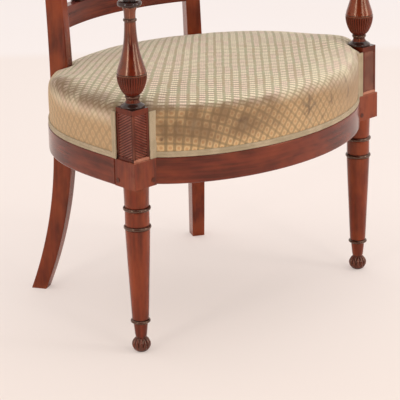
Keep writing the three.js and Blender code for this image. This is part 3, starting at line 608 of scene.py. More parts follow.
@dataclass(frozen=True)
class BackCurve:
    """The upright cylinder that the back stands on. It rakes back as it rises."""

    radius: float = 350.0
    centre_y: float = -21.0
    height: float = 868.0
    rake: float = 47.0
    rake_from: float = 300.0
    crest_bottom: float = 794.0

    def rake_at(self, z: float) -> float:
        """How far back the rake has taken a place at a height."""
        return self.rake * (max(0.0, z - self.rake_from) / (self.height - self.rake_from)) ** 2

    def place(self, run: float, z: float, depth: float) -> Vector:
        """A place on the back, from its run along the curve, its height and its depth."""
        angle = run / self.radius
        reach = self.radius + depth
        return at(reach * math.sin(angle), self.centre_y + reach * math.cos(angle) + self.rake_at(z), z)

    def lean_at(self, z: float) -> float:
        """The slope of the rake at a height: how far back for each step up."""
        return 2 * self.rake * max(0.0, z - self.rake_from) / (self.height - self.rake_from) ** 2

    def station(self, run: float, z: float, depth: float) -> Matrix:
        """A frame on the back whose X is the depth, whose Y leans up it and whose Z runs along it."""
        angle = run / self.radius
        ahead = Vector((math.cos(angle), -math.sin(angle), 0))
        flat = Vector((math.sin(angle), math.cos(angle), 0))
        up = (UP + flat * self.lean_at(z) * math.cos(angle)).normalized()
        turned = Matrix((up.cross(ahead), up, ahead)).transposed()
        return Matrix.Translation(self.place(run, z, depth)) @ turned.to_4x4()

    def bar(self, reach: float, z: float, depth: float, steps: int = 40, arch: float = 0.0) -> list[Station]:
        """Stations of a bar that runs along the back, from left to right.

        Args:
            reach: How far its ends stand from the middle, along the curve.
            z: Its height.
            depth: How far it stands behind the curve.
            steps: The number of steps between its stations.
            arch: How much taller it is at its middle, as a share of its height.

        Returns:
            The stations.
        """
        return [
            Station(self.station(reach * share, z, depth), 1.0, 1 + arch * math.cos(share * QUARTER))
            for share in shares_across(steps)
        ]


@dataclass(frozen=True)
class StileLine:
    """The line of a right rear post, which is a sabre leg below the seat and a stile above it."""

    x: float = 154.5
    y: float = 306.04
    turn: float = math.radians(28)
    splay: float = 54.5
    splay_turn: float = math.radians(41)
    splay_top: float = 300.0
    splay_power: float = 2.15
    foot: Row = (23.0, 27.5)
    seat: Row = (27.0, 34.0)
    head: Row = (24.0, 25.0)

    def place(self, z: float) -> Vector:
        """The middle of the post at a height."""
        splay = self.splay * max(0.0, 1 - z / self.splay_top) ** self.splay_power
        x = self.x + splay * math.sin(self.splay_turn)
        return at(x, self.y + splay * math.cos(self.splay_turn) + BACK.rake_at(z), z)

    def size(self, z: float) -> Row:
        """Width and depth of the post at a height."""
        if z < SEAT.bottom:
            start, end, share = self.foot, self.seat, z / SEAT.bottom
        else:
            start, end = self.seat, self.head
            share = max(0.0, (z - SEAT.top) / (BACK.crest_bottom - SEAT.top))
        return mix(start[0], end[0], share), mix(start[1], end[1], share)

    def frame(self, z: float) -> Matrix:
        """The post's own frame at a height: X out to its side, Y to its back."""
        return Matrix.Translation(self.place(z)) @ Matrix.Rotation(-self.turn, 4, "Z")

    def side_plane(self, z: float, side: int, gap: float = 0.3) -> tuple[Vector, Vector]:
        """A point beside a face of the post and the direction that face looks in."""
        out = self.frame(z).to_3x3() @ Vector((side, 0, 0))
        return self.place(z) + out * (self.size(z)[0] / 2 + gap) * MM, out


SEAT = SeatPlan()
BACK = BackCurve()
STILE = StileLine()


def trim_at_stile(piece: Mesh, z: float, side: int, both: bool = False) -> None:
    """Cuts a piece off at a side of the right stile, and at the left stile too if it meets both."""
    place, out = STILE.side_plane(z, side)
    trim(piece, place, -out)
    if both:
        trim(piece, mirrored(place), -mirrored(out))


def over_middle(half: Sequence[Vector], start: int) -> list[Vector]:
    """A path from one of its right half's points to that point's mirror image."""
    return [*half[start:], *(mirrored(p) for p in half[-2:start - 1:-1])]


# Wooden sub-assemblies


class PostPaint(IntEnum):
    """The finishes of a front post, by their order in its list of materials."""

    UPRIGHT = 0
    EBONISED = 1
    BROWN = 2
    GROOVE_SHADE = 3
    BLOCK = 4
    BULB = 5
    LIT_LEDGE = 6
    CREST_HIGHLIGHT = 7
    FOOT = 8


@dataclass
class FrontPost:
    """Ball foot, turned leg, seat block, carved block, reeded baluster and capital in one piece."""

    finishes: "Finishes"
    ball: Triple = (15.5, 14.0, 12.5)
    gadroons: int = 12
    gadroon_depth: float = 2.2
    reeds: int = 34
    reed_depth: float = 1.5
    baluster_x: float = 262.9
    carved_bottom: float = 329.0
    carved_top: float = 414.2
    groove_pitch: float = 3.9
    groove_depth: float = 1.0
    groove_slope: float = math.radians(28)
    groove_rows: int = 6
    groove_form: tuple[tuple[int, float], ...] = ((0, 1.0), (1, 0.9), (2, 0.4), (4, 0.4), (5, 0.9))
    panel_heights: Row = (334.0, 406.2)
    crest_depths: Row = (0.12, 0.3)
    bottom_depths: Row = (0.75, 1.05)
    flute_heights: Row = (436.0, 466.0)
    flute_share: float = 0.62
    lobe_heights: Row = (2.0, 25.0)
    lobe_share: float = 0.7
    panel_set_in: float = 1.1
    panel_spare: float = 22.0
    panel_width: float = 90.0
    panel_thick: float = 2.0
    panel_back: float = 1.2
    rings: tuple[Triple, ...] = ((16.5, 53.5, 6.6), (22.4, 215.0, 6.2), (22.6, 246.5, 6.2))
    bulb: tuple[Row, ...] = (
        (11.6, 434.1), (14.6, 436.8), (17.1, 440.4), (20.4, 447.6), (22.8, 455.6), (23.7, 461.6),
        (23.9, 465.6),
    )
    foot_top: float = 27.0
    bulb_top: float = 466.0
    black_heights: tuple[Row, ...] = ((414.05, 422.4), (574.5, 590.0))
    # The band up to 2 mm darkens the underside of the ball foot where it meets the floor: painted shade. The
    # bands at 466.0 to 466.9 and 468.4 to 469.6 darken the hollows beside the bead over the bulb: painted
    # shade. The other bands are the dark rings.
    brown_heights: tuple[Row, ...] = (
        (-1.0, 2.0), (49.6, 57.4), (211.6, 218.4), (243.2, 249.8), (427.4, 434.4), (466.0, 466.9),
        (468.4, 469.6), (550.6, 556.5),
    )

    def foot(self) -> Mesh:
        """The ball foot, gadrooned over its upper half."""
        radius, half_high, middle = self.ball
        rows, carved = [], []
        steps = 16
        start = -math.asin(middle / half_high)
        for i in range(steps + 1):
            angle = mix(start, -start, i / steps)
            row = (radius * math.cos(angle), middle + half_high * math.sin(angle))
            rows.append(row)
            share = limited(1.8 * math.sin(angle) + 1.1)
            if 0.02 < share and i < steps:
                carved.append((*row, self.gadroon_depth * share * math.cos(angle) ** 0.5))
        centre = (SEAT.post_x, 0)
        piece = lathe("foot", rows, self.gadroons * 10, centre)
        carve_lobes(piece, self.gadroons, carved, centre)
        return piece

    def leg(self) -> Mesh:
        """The turned leg from its ankle to the seat block, with three beads."""
        low, mid, top = self.rings
        ankle = smooth_rows([(8.2, 23.5), (9.5, 28), (10.4, 36), (11.3, 45), (11.5, 49.6)], 3)
        shaft = smooth_rows([(13.7, 57.3), (14.6, 76), (16.3, 116), (18.3, 161), (20.2, 211.2)], 4)
        between = [(19.7, 218.6), (19.9, 222), (19.8, 240), (19.3, 242.9)]
        neck = [(19.4, 250.1), (19.9, 252), (20.4, 275), (20.9, 286)]
        rows = [
            *ankle, *bead_rows(*low, 11.2), *shaft, *bead_rows(*mid, 19.4), *between,
            *bead_rows(*top, 19.2), *neck,
        ]
        return lathe("leg", rows, 96, (SEAT.post_x, 0))

    def seat_block(self) -> Mesh:
        """The square block that the seat rails are let into."""
        half = SEAT.block / 2 - 0.1
        x = (SEAT.post_x - half, SEAT.post_x + half)
        return block("seat_block", x, (-half, half), (SEAT.bottom, SEAT.top), 1.4)

    def carved_block(self) -> list[Mesh]:
        """The upper block, with a sunk panel of slanting reeds on its front and on its outer face."""
        face, deep = SEAT.carved_face, self.panel_set_in
        x0, x1 = SEAT.post_x + face - SEAT.carved[0], SEAT.post_x + face
        y0, y1 = -face, SEAT.carved[1] - face
        low, high = self.carved_bottom - 1, self.carved_top
        z = (self.carved_bottom + 5.5, self.carved_top - 9.0)
        near, far = (x0 + 5.0, x1 - 4.0), (y0 + 4.0, y1 - 5.0)
        parts = [block("carved_block", (x0 + 0.4, x1 - deep), (y0 + deep, y1 - 0.4), (low, high - 2), 0.2)]
        for span in ((low, z[0]), (z[1], high)):
            parts.append(block("margin", (x0, x1), (y0, y1), span, 0.5))
        sides = (
            ((x0, near[0]), (y0, y0 + 2 * deep)), ((x1 - 2 * deep, x1), (far[1], y1)),
            ((near[1], x1), (y0, far[0])),
        )
        for x, y in sides:
            parts.append(block("margin", x, y, (z[0] - 1, z[1] + 1), 0.4))
        front = lay(self.reeded_panel(near, z, self.groove_slope), (), at(0, y0, 0))
        side = self.reeded_panel(far, z, -self.groove_slope)
        lay(side, ((QUARTER, "Z"),), Vector((x1 * MM, -MIDDLE_Y * MM, 0)))
        return [*parts, front, side]

    def reeded_panel(self, across: Row, up: Row, slope: float) -> Mesh:
        """A panel of slanting reeds in the plane Y = 0, raised to the front and cut square.

        Args:
            across: Where it starts and ends along X, in millimetres.
            up: Where it starts and ends in height.
            slope: How steeply the reeds rise towards +X, as an angle.

        Returns:
            The closed panel, whose reeds reach the plane and whose flat back lies behind it.
        """
        put_down()
        centre = Vector((sum(across) / 2 * MM, 0, sum(up) / 2 * MM))
        half_long = (up[1] - up[0]) / 2 + self.panel_spare
        rows = self.groove_rows * int(2 * half_long / self.groove_pitch)
        bpy.ops.mesh.primitive_grid_add(x_subdivisions=2, y_subdivisions=rows, size=1, location=centre)
        scale_about((self.panel_width * MM, 2 * half_long * MM, 1), centre)
        piece = bpy.context.object
        bpy.ops.object.transform_apply(location=True, rotation=True, scale=True)
        take_up(piece, edit=True)
        turn(QUARTER, "X", centre)
        step = 2 * half_long * MM / rows
        for phase, sink in self.groove_form:
            choose(piece, lambda co, own=phase: round((co.z - centre.z) / step) % self.groove_rows == own)
            bpy.ops.transform.translate(value=(0, sink * self.groove_depth * MM, 0))
        bpy.ops.mesh.select_all(action="SELECT")
        turn(-slope, "Y", centre)
        for (low, high), axis in ((across, Vector((1, 0, 0))), (up, UP)):
            for edge, away in ((high, axis), (low, -axis)):
                bpy.ops.mesh.select_all(action="SELECT")
                bpy.ops.mesh.bisect(plane_co=axis * edge * MM, plane_no=away, clear_outer=True)
        bpy.ops.mesh.select_all(action="SELECT")
        extrude((0, self.panel_thick * MM, 0))
        scale_about((1, 0, 1), centre + Vector((0, self.panel_back * MM, 0)))
        return drawn("reeded_panel")

    def baluster(self) -> list[Mesh]:
        """The turned baluster over the block, with its disc, reeded bulb, neck ring and capital."""
        centre = (self.baluster_x, 0)
        foot = [
            (18.0, 413.4), (19.1, 414.4), (19.4, 415.8), (19.0, 417.3), (17.2, 418.6), (14.4, 420.0),
            (12.2, 421.8), (10.9, 423.8), (10.2, 425.6), (10.2, 427.0), (11.0, 428.4), (12.0, 429.6),
            (12.3, 431.0), (11.9, 432.4), (10.8, 433.2), (11.4, 434.0),
        ]
        bulb = smooth_rows(self.bulb, 4)
        carved = []
        for radius, height in bulb:
            share = max(0.0, min(1.0, (height - self.bulb[0][1]) / 3.5, (self.bulb_top - height) / 1.6))
            carved.append((radius, height, self.reed_depth * share * radius / self.bulb[-1][0]))
        lines = [
            (23.0, 466.0), (23.0, 466.7), (23.9, 467.0), (23.8, 468.2), (22.8, 468.6), (22.7, 469.3),
            (23.3, 469.7),
        ]
        neck = smooth_rows([
            (23.1, 470.0), (22.2, 474.8), (20.2, 481), (18.3, 487), (15.8, 495.5), (13.6, 504.5),
            (11.5, 516), (10.2, 528), (9.4, 540), (9.0, 549.6),
        ], 4)
        head = [
            *bead_rows(10.9, 553.5, 4.4, 8.9, 6), (8.95, 557.0), (9.05, 562), (9.4, 566.6), (10.2, 569.8),
            (11.1, 571.8), (11.5, 573.4), (11.2, 574.2), (14.2, 575.0), *bead_rows(19.25, 579.6, 7.4, 16.6),
            (14.6, 584.0), (10, 584.4), (10, 590.2),
        ]
        piece = lathe("baluster", [*foot, *bulb, *lines, *neck, *head], self.reeds * 6, centre)
        carve_lobes(piece, self.reeds, carved, centre)
        return [piece]

    def depths(self, place: Vector) -> Row:
        """How deep a place lies behind the front and the outer crests of the carved block's reeds,
        as shares of a groove's depth; far out of reach above and below the panels."""
        if not self.panel_heights[0] < place.z / MM < self.panel_heights[1]:
            return math.inf, math.inf
        front, side = (SEAT.carved_face + MIDDLE_Y) * MM, (SEAT.post_x + SEAT.carved_face) * MM
        return (place.y + front) / MM / self.groove_depth, (side - place.x) / MM / self.groove_depth

    def in_groove(self, place: Vector) -> bool:
        """Whether a place lies in the bottom of a groove of the carved block."""
        low, high = self.bottom_depths
        return any(low < abs(depth) < high for depth in self.depths(place))

    def on_crest(self, place: Vector) -> bool:
        """Whether a place lies on the crest of a reed of the carved block."""
        low, high = self.crest_depths
        return any(low < depth < high for depth in self.depths(place))

    def in_flute(self, place: Vector) -> bool:
        """Whether a place lies between two reeds of the bulb, or two lobes of the foot."""
        x, y, z = place.x / MM, place.y / MM + MIDDLE_Y, place.z / MM
        if self.lobe_heights[0] < z < self.lobe_heights[1]:
            radius, half_high, middle = self.ball
            ball = radius * math.cos(math.asin((z - middle) / half_high))
            return ball - math.hypot(x - SEAT.post_x, y) > self.lobe_share * self.gadroon_depth
        radii, heights = zip(*self.bulb)
        sunk = np.interp(z, heights, radii) - math.hypot(x - self.baluster_x, y)
        return self.flute_heights[0] < z < self.flute_heights[1] and sunk > self.flute_share * self.reed_depth

    def dress(self, post: Mesh) -> None:
        """Gives each part of a right post its finish, by height and by depth of carving."""
        lit_ledge = (MIDDLE_Y + SEAT.carved_face - 0.1) * MM
        own = self.finishes
        paint(
            post, own.upright, own.ebonised, own.brown, own.groove, own.block, own.bulb, own.lit_ledge, own.crest,
            own.foot,
        )
        paint_where(post, PostPaint.FOOT, lambda p: p.z < self.foot_top * MM)
        paint_where(post, PostPaint.BLOCK, lambda p: p.z > self.carved_bottom * MM)
        paint_where(post, PostPaint.BULB, lambda p: p.z > self.bulb_top * MM)
        # The crests of the carved block's reeds take a paler wood: a painted highlight.
        paint_where(post, PostPaint.CREST_HIGHLIGHT, self.on_crest)
        # The front top of the seat block, below the carved block, is painted pale: a painted highlight.
        paint_where(post, PostPaint.LIT_LEDGE, lambda p: abs(p.z / MM - SEAT.top) < 2.4 and p.y < -lit_ledge)
        # The bottoms of the carved reeds, the bulb's flutes and the foot's gadroons take a darker wood:
        # painted shade.
        paint_where(post, PostPaint.GROOVE_SHADE, lambda p: self.in_groove(p) or self.in_flute(p))
        rings = [(PostPaint.EBONISED, heights) for heights in self.black_heights]
        rings += [(PostPaint.BROWN, heights) for heights in self.brown_heights]
        for part, (low, high) in rings:
            paint_where(post, part, lambda p, low=low, high=high: low * MM < p.z < high * MM)

    def build(self) -> None:
        """Builds both posts."""
        parts = [self.leg(), self.foot(), self.seat_block(), *self.carved_block(), *self.baluster()]
        post = tidied(joined("front_post_right_turned", parts), 38)
        self.dress(post)
        set_pair(post, "mahogany", "front_post")


@dataclass
class RearPost:
    """The sabre leg and stile, one tapered piece with eased arrises."""

    finishes: "Finishes"
    arris: float = 2.2
    leg_steps: int = 22
    stile_steps: int = 22

    def build(self) -> None:
        """Builds both posts."""
        top = BACK.crest_bottom
        heights = [SEAT.bottom * (i / self.leg_steps) for i in range(self.leg_steps + 1)]
        heights += [mix(SEAT.top, top, i / self.stile_steps) for i in range(self.stile_steps + 1)]
        base = STILE.seat
        stations = []
        for z in heights:
            width, depth = STILE.size(z)
            stations.append(Station(STILE.frame(z), width / base[0], depth / base[1]))
        outline = eased_outline(*base, self.arris, 4)
        post = sweep("rear_post_right_sabre", outline, stations, lay_grain=False)
        dress(post, 50, self.finishes.upright, "mahogany", "rear_post", pair=True)


@dataclass
class SeatFrame:
    """The bowed front rail, and the side and rear rails of the hoop."""

    finishes: "Finishes"
    thickness: float = 27.0
    arris: float = 3.0
    top_arris: float = 1.2
    slack: float = 0.3
    front_spare: float = 4.0
    side_spare: int = 8
    rear_from: int = 20

    def outline(self) -> Outline:
        """The rail's section: eased below, and with a small arris above."""
        half_wide, half_high = self.thickness / 2, (SEAT.top - SEAT.bottom) / 2
        corners = eased_outline(2 * half_wide, 2 * half_high, self.arris, 4)
        small = eased_outline(2 * half_wide, 2 * half_high, self.top_arris, 4)
        return [s if s[1] > 0 else c for c, s in zip(corners, small)]

    def rail(self, name: str, line: list[Vector]) -> Mesh:
        """A rail swept along its middle line."""
        return sweep(name, self.outline(), along(line))

    def build(self) -> None:
        """Builds and dresses the four rails."""
        middle = (SEAT.bottom + SEAT.top) / 2
        inward = self.thickness / 2
        bow = SEAT.bow_line(SEAT.bow_half - self.front_spare, 56, inward, middle)
        front = self.rail("front_rail_bowed", bow)
        reach = SEAT.post_x - SEAT.block / 2 - self.slack
        for side in (1, -1):
            trim(front, at(side * reach, 0, 0), Vector((side, 0, 0)))
        dress(front, 40, self.finishes.rail, "mahogany", "front_seat_rail")

        half = SEAT.hoop_line(SEAT.block / 2 + self.slack, inward, middle)
        side_rail = self.rail("side_rail_right_curved", half[:-self.side_spare])
        trim_at_stile(side_rail, middle, 1)
        dress(side_rail, 40, self.finishes.rail, "mahogany", "side_seat_rail", pair=True)

        rear = self.rail("rear_rail_curved", over_middle(half, self.rear_from))
        trim_at_stile(rear, middle, -1, both=True)
        dress(rear, 40, self.finishes.rail, "mahogany", "rear_seat_rail")


@dataclass
class BackFrame:
    """The lower back rail and the crest rail, both on the back's curve."""

    finishes: "Finishes"
    lower_bottom: float = 466.3
    lower_height: float = 37.0
    lower_thickness: float = 20.5
    lower_arris: float = 1.6
    crest_height: float = 62.0
    crest_arch: float = 12.0
    crest_thickness: float = 25.0
    crest_front: float = 3.0
    overhang: float = 25.0
    stile_set_back: float = 11.7
    crest_outline: tuple[Row, ...] = (
        (0.06, 0), (0.02, 0.05), (0, 0.2), (0, 0.35), (-0.015, 0.5), (-0.03, 0.66), (-0.03, 0.78),
        (-0.01, 0.86), (0.03, 0.92), (0.09, 0.96), (0.16, 0.985), (0.28, 0.996), (0.42, 1),
        (0.58, 0.998), (0.72, 0.988), (0.86, 0.97), (0.98, 0.935), (1.06, 0.885), (1.1, 0.82),
        (1.105, 0.76), (1.08, 0.7), (1.02, 0.64),
        (0.94, 0.6), (0.9, 0.5), (0.88, 0.35), (0.88, 0.05), (0.85, 0),
    )

    def build(self) -> None:
        """Builds both rails."""
        run = BACK.radius * math.asin(STILE.x / (BACK.radius + self.stile_set_back))
        middle_z = self.lower_bottom + self.lower_height / 2
        outline = eased_outline(self.lower_thickness, self.lower_height, self.lower_arris, 4)
        lower = sweep("lower_back_rail_curved", outline, BACK.bar(run, middle_z, self.lower_thickness / 2))
        trim_at_stile(lower, middle_z, -1, both=True)
        dress(lower, 40, self.finishes.rail, "mahogany", "lower_back_rail")

        arch = self.crest_arch / self.crest_height
        outline = [(d * self.crest_thickness, r * self.crest_height) for d, r in self.crest_outline]
        stations = BACK.bar(run + self.overhang, BACK.crest_bottom, -self.crest_front, arch=arch)
        crest = sweep("crest_rail_curved", outline, stations)
        ease(crest, 1.6, 3, 60)
        dress(crest, 40, self.finishes.rail, "mahogany", "crest_rail")


@dataclass
class Armrest:
    """A round-edged arm that ends in a scroll over its baluster."""

    finishes: "Finishes"
    front: Row = (30.0, 21.0)
    rear: Row = (24.0, 23.0)
    rise: float = 49.0
    start_z: float = 622.8
    scroll_z: float = 610.3
    scroll_radius: float = 23.0
    scroll_half: float = 15.5
    scroll_flat: float = 3.0
    arris: float = 8.5
    shares: tuple[Triple, ...] = (
        (0, 0, 0), (0.3, -0.07, 0.03), (0.62, 0.16, 0.24), (0.86, 0.55, 0.64),
    )

    def scroll(self) -> Mesh:
        """The drum at the front, turned on its side, with a sunk eye and a boss on each face."""
        half, radius = self.scroll_half, self.scroll_radius
        face = [
            (0.8, -half + 3.2), (3.4, -half + 2.4), (5.0, -half + 1.2), (6.2, -half + 2.6),
            (7.4, -half + 3.0), (14.2, -half + 2.2), (15.6, -half + 0.9), (17.2, -half + 0.1),
            (20.6, -half), (22.3, -half + 0.6),
        ]
        rim = [(radius, -half + 2.2), (radius, 0), (radius, half - 2.2)]
        rows = [*face, *rim, *((r, -z) for r, z in reversed(face))]
        piece = lathe("scroll", rows, 72, AXIS)
        return lay(piece, ((QUARTER, "Y"),), at(FrontPost.baluster_x, 0, self.scroll_z))

    def size(self, share: float) -> Row:
        """Width and height of the arm at a share of its length, against those of its front."""
        return tuple(mix(front, rear, share) / front for front, rear in zip(self.front, self.rear))

    def build(self) -> None:
        """Builds both arms."""
        start = at(FrontPost.baluster_x, 0, self.start_z)
        end_z = self.start_z + self.rise
        end = STILE.frame(end_z) @ Vector((STILE.size(end_z)[0] / 2 * MM, 0, 0))
        run = end - start
        via = [start + Vector((run.x * inward, run.y * back, run.z * up)) for back, inward, up in self.shares]
        path = even_path(smooth_path([*via, end, STILE.place(end_z)], 12), 56)
        arm = sweep("arm", eased_outline(*self.front, self.arris, 5), along(path, self.size))
        trim_at_stile(arm, end_z, 1)
        scroll = self.scroll()
        trim(scroll, at(0, 0, self.scroll_z - self.scroll_radius + self.scroll_flat), -UP)
        whole = joined("armrest_right_scrolled", [arm, scroll])
        dress(whole, 45, self.finishes.rail, "mahogany", "armrest", pair=True)


@dataclass
class Lyre:
    """The lyre between the back rails: plinth, base, two arms, yoke, five strings and rosettes."""

    finishes: "Finishes"
    bottom: float = 503.6
    base_bottom: float = 516.9
    arms_bottom: float = 547.2
    top: float = 793.7
    half_width: float = 74.0
    set_back: float = 2.5
    thickness: float = 16.0
    eye_radius: float = 16.0
    yoke_share: float = 0.1475
    string_count: int = 5
    string_thick: float = 3.4
    string_sizes: tuple[Row, ...] = (
        (0, 1), (0.02, 1), (0.021, 1.32), (0.06, 1.32), (0.061, 1), (0.93, 1), (0.931, 1.32),
        (0.965, 1.32), (1, 1),
    )
    shares: tuple[Row, ...] = (
        (0.5, 0), (0.74, 0.09), (0.96, 0.24), (1, 0.38), (0.86, 0.52), (0.66, 0.65),
        (0.56, 0.77), (0.66, 0.87), (0.86, 0.92), (0.95, 1),
    )
    widths: Triple = (21.0, 18.0, 12.5)
    width_shares: Triple = (0.0, 0.3, 0.72)
    plinth_half: float = 95.0
    base_half: float = 50.0
    base_height: float = 30.0

    @property
    def middle(self) -> float:
        """The depth of the middle of the lyre on the back's curve."""
        return self.set_back + self.thickness / 2

    @property
    def eye_z(self) -> float:
        """The height of the eyes of its scrolls."""
        return self.top - self.eye_radius

    @property
    def yoke_z(self) -> float:
        """The height of its yoke."""
        return self.eye_z - (self.eye_z - self.arms_bottom) * self.yoke_share

    def plinth(self) -> None:
        """The moulded plinth on the lower back rail."""
        half, height = 10.5, 13.0
        outline = [
            (-half, 0), (half, 0), (half, 5.4), (half - 0.4, 6.0), (half - 1.6, 6.4), (half - 2.6, 7.4),
            (half - 2.9, 9.2), (half - 3.4, 10.8), (half - 4.6, 12.2), (half - 5.6, height),
        ]
        outline += [(-u, v) for u, v in reversed(outline[2:])]
        stations = BACK.bar(self.plinth_half, self.bottom, self.middle, 24)
        piece = sweep("lyre_plinth_moulded", outline, stations)
        ease(piece, 1.0, 2, 60)
        dress(piece, 40, self.finishes.ebonised, "ebonised", "lyre_plinth")

    def base(self) -> None:
        """The waisted base."""
        rows = [
            (0.92, 0), (0.93, 0.05), (0.88, 0.1), (0.76, 0.17), (0.64, 0.26), (0.56, 0.38), (0.54, 0.5),
            (0.58, 0.62), (0.68, 0.74), (0.84, 0.86), (0.97, 0.93), (1, 0.97), (0.99, 1),
        ]
        shares, z = shares_across(20), self.base_bottom
        front = [BACK.place(self.base_half * share, z, self.set_back) for share in shares]
        rear = [BACK.place(-self.base_half * share, z, self.set_back + self.thickness) for share in shares]
        piece = trace("lyre_base_waisted", [*front, *rear])
        centre = BACK.place(0, z, self.middle)
        scale_about((rows[0][0], 1, 1), centre)
        for (wide, rise), (new_wide, new_rise) in zip(rows, rows[1:]):
            low, high = z + self.base_height * rise, z + self.base_height * new_rise
            extrude((0, (BACK.rake_at(high) - BACK.rake_at(low)) * MM, (high - low) * MM))
            scale_about((new_wide / wide, 1, 1), centre)
        piece = drawn("lyre_base_waisted")
        ease(piece, 1.2, 3, 50)
        dress(piece, 35, self.finishes.upright, "mahogany", "lyre_base")

    def arm_width(self, share: float) -> float:
        """Width of a lyre arm at a share of its length."""
        return float(np.interp(share, self.width_shares, self.widths))

    def arm_curve(self) -> list[Vector]:
        """The centre line of the right arm, laid flat: X along the back, Z up, in metres."""
        height = self.eye_z - self.arms_bottom
        flat = [
            Vector((self.half_width * run, 0, self.arms_bottom + height * rise)) for run, rise in self.shares
        ]
        return [p * MM for p in even_path(smooth_path(flat, 10), 60)]

    def arms(self) -> None:
        """The two arms, each with a bead along its front and back edges, and a turned disc in its scroll."""
        flat = self.arm_curve()
        half = self.thickness / 2
        outline = [
            (-10.5, -half + 2), (-9.4, -half + 0.6), (-8.0, -half), (-6.6, -half + 0.5), (-5.8, -half + 1.7),
            (-5.0, -half + 1.9), (0, -half + 1.2), (5.0, -half + 1.9), (5.8, -half + 1.7), (6.6, -half + 0.5),
            (8.0, -half), (9.4, -half + 0.6), (10.5, -half + 2), (10.5, half - 2), (9.9, half - 0.6),
            (8.5, half), (-8.5, half), (-9.9, half - 0.6), (-10.5, half - 2),
        ]
        outline = [(-u, v) for u, v in reversed(outline)]
        stations = []
        last = len(flat) - 1
        for i, place in enumerate(flat):
            run = place.x / MM
            turned = Matrix.Rotation(-run / BACK.radius, 3, "Z")
            ahead = UP if i == 0 else flat[min(last, i + 1)] - flat[i - 1]
            ahead = (turned @ Vector((ahead.x, 0, ahead.z))).normalized()
            deep = turned @ Vector((0, 1, 0))
            axes = Matrix((deep.cross(ahead), deep, ahead)).transposed().to_4x4()
            centre = Matrix.Translation(BACK.place(run, place.z / MM, self.middle))
            stations.append(Station(centre @ axes, self.arm_width(i / last) / self.widths[0], 1))
        arm = sweep("lyre_arm", outline, stations)
        whole = joined("lyre_arm_right_carved", [arm, self.eye_disc()])
        dress(whole, 35, self.finishes.along, "mahogany", "lyre_arm", pair=True)

    def face_forward(self, piece: Mesh) -> Mesh:
        """Lays a form that was turned at the middle of the plan in the eye of the right scroll."""
        run = self.half_width * self.shares[-1][0]
        turns = ((QUARTER, "X"), (-run / BACK.radius, "Z"))
        return lay(piece, turns, BACK.place(run, self.eye_z, self.middle))

    def eye_disc(self) -> Mesh:
        """The turned end of a lyre arm's scroll."""
        rim = self.eye_radius
        face = [(rim - 4.6, -8.2), (rim - 3.8, -9.2), (rim - 2.2, -9.5), (rim - 0.8, -9.0), (rim, -7.6)]
        rows = [(0.5, -8.2), *face, (rim, 0), *((r, -z) for r, z in reversed(face)), (0.5, 8.2)]
        return self.face_forward(lathe("eye_disc", rows, 48, AXIS))

    def rosettes(self) -> None:
        """The two domed rosettes of eight petals, with a boss."""
        rows = [
            (10.9, 8.6), (11.0, 9.8), (10.9, 11.2), (10.2, 12.4), (9.0, 13.2), (7.4, 13.5), (5.8, 13.2),
            (5.0, 12.8), (4.7, 13.4), (4.2, 14.4), (3.2, 15.0), (1.6, 15.3), (0.4, 15.4),
        ]
        piece = lathe("lyre_rosette_right_petals", rows, 96, AXIS)
        carve_lobes(piece, 8, [(r, z, 1.6 * r / 11) for r, z in rows[:8]], AXIS)
        dress(self.face_forward(piece), 50, self.finishes.brass, "brass", "lyre_rosette", pair=True)

    def yoke(self) -> None:
        """The turned yoke between the arms."""
        low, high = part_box("lyre_yoke")
        reach = high.x / MM
        half = [
            (9.0, 0), (8.75, 2.2), (7.9, 4.4), (6.9, 6.2), (6.1, 7.2), (6.9, 7.8), (6.9, 8.9), (5.9, 9.6),
            (5.5, 11.0), (5.3, reach - 9), (6.3, reach - 8), (6.3, reach - 6.2), (5.4, reach - 5.2),
            (5.4, reach),
        ]
        rows = [*((r, -z) for r, z in reversed(half[1:])), *half]
        piece = lathe("lyre_yoke_turned", rows, 40, AXIS)
        lay(piece, ((QUARTER, "Y"),), Vector((0, (low.y + high.y) / 2, self.yoke_z * MM)))
        dress(piece, 50, self.finishes.ebonised, "ebonised", "lyre_yoke")

    def strings(self) -> None:
        """The strings from the yoke down to the base, each thicker where it is wound."""
        outline = eased_outline(self.string_thick, self.string_thick, self.string_thick / 2 - 0.01, 4)
        for number in range(self.string_count):
            node = f"lyre_string_{number + 1}"
            corners = [v.co for v in frame["nodes"][node].data.vertices]
            ends = []
            for level in (min(c.z for c in corners), max(c.z for c in corners)):
                ring = [c for c in corners if abs(c.z - level) < 0.5 * MM]
                ends.append(sum(ring, Vector()) / len(ring))
            low, high = ends
            stations = [
                Station(facing(low.lerp(high, share), high - low, Vector((0, 1, 0))), size, size)
                for share, size in self.string_sizes
            ]
            rod = sweep(f"{node}_wire", outline, stations, lay_grain=False)
            dress(rod, 50, self.finishes.brass, "brass", node)

    def build(self) -> None:
        """Builds every piece of the lyre."""
        self.plinth()
        self.base()
        self.arms()
        self.rosettes()
        self.yoke()
        self.strings()


# Upholstery


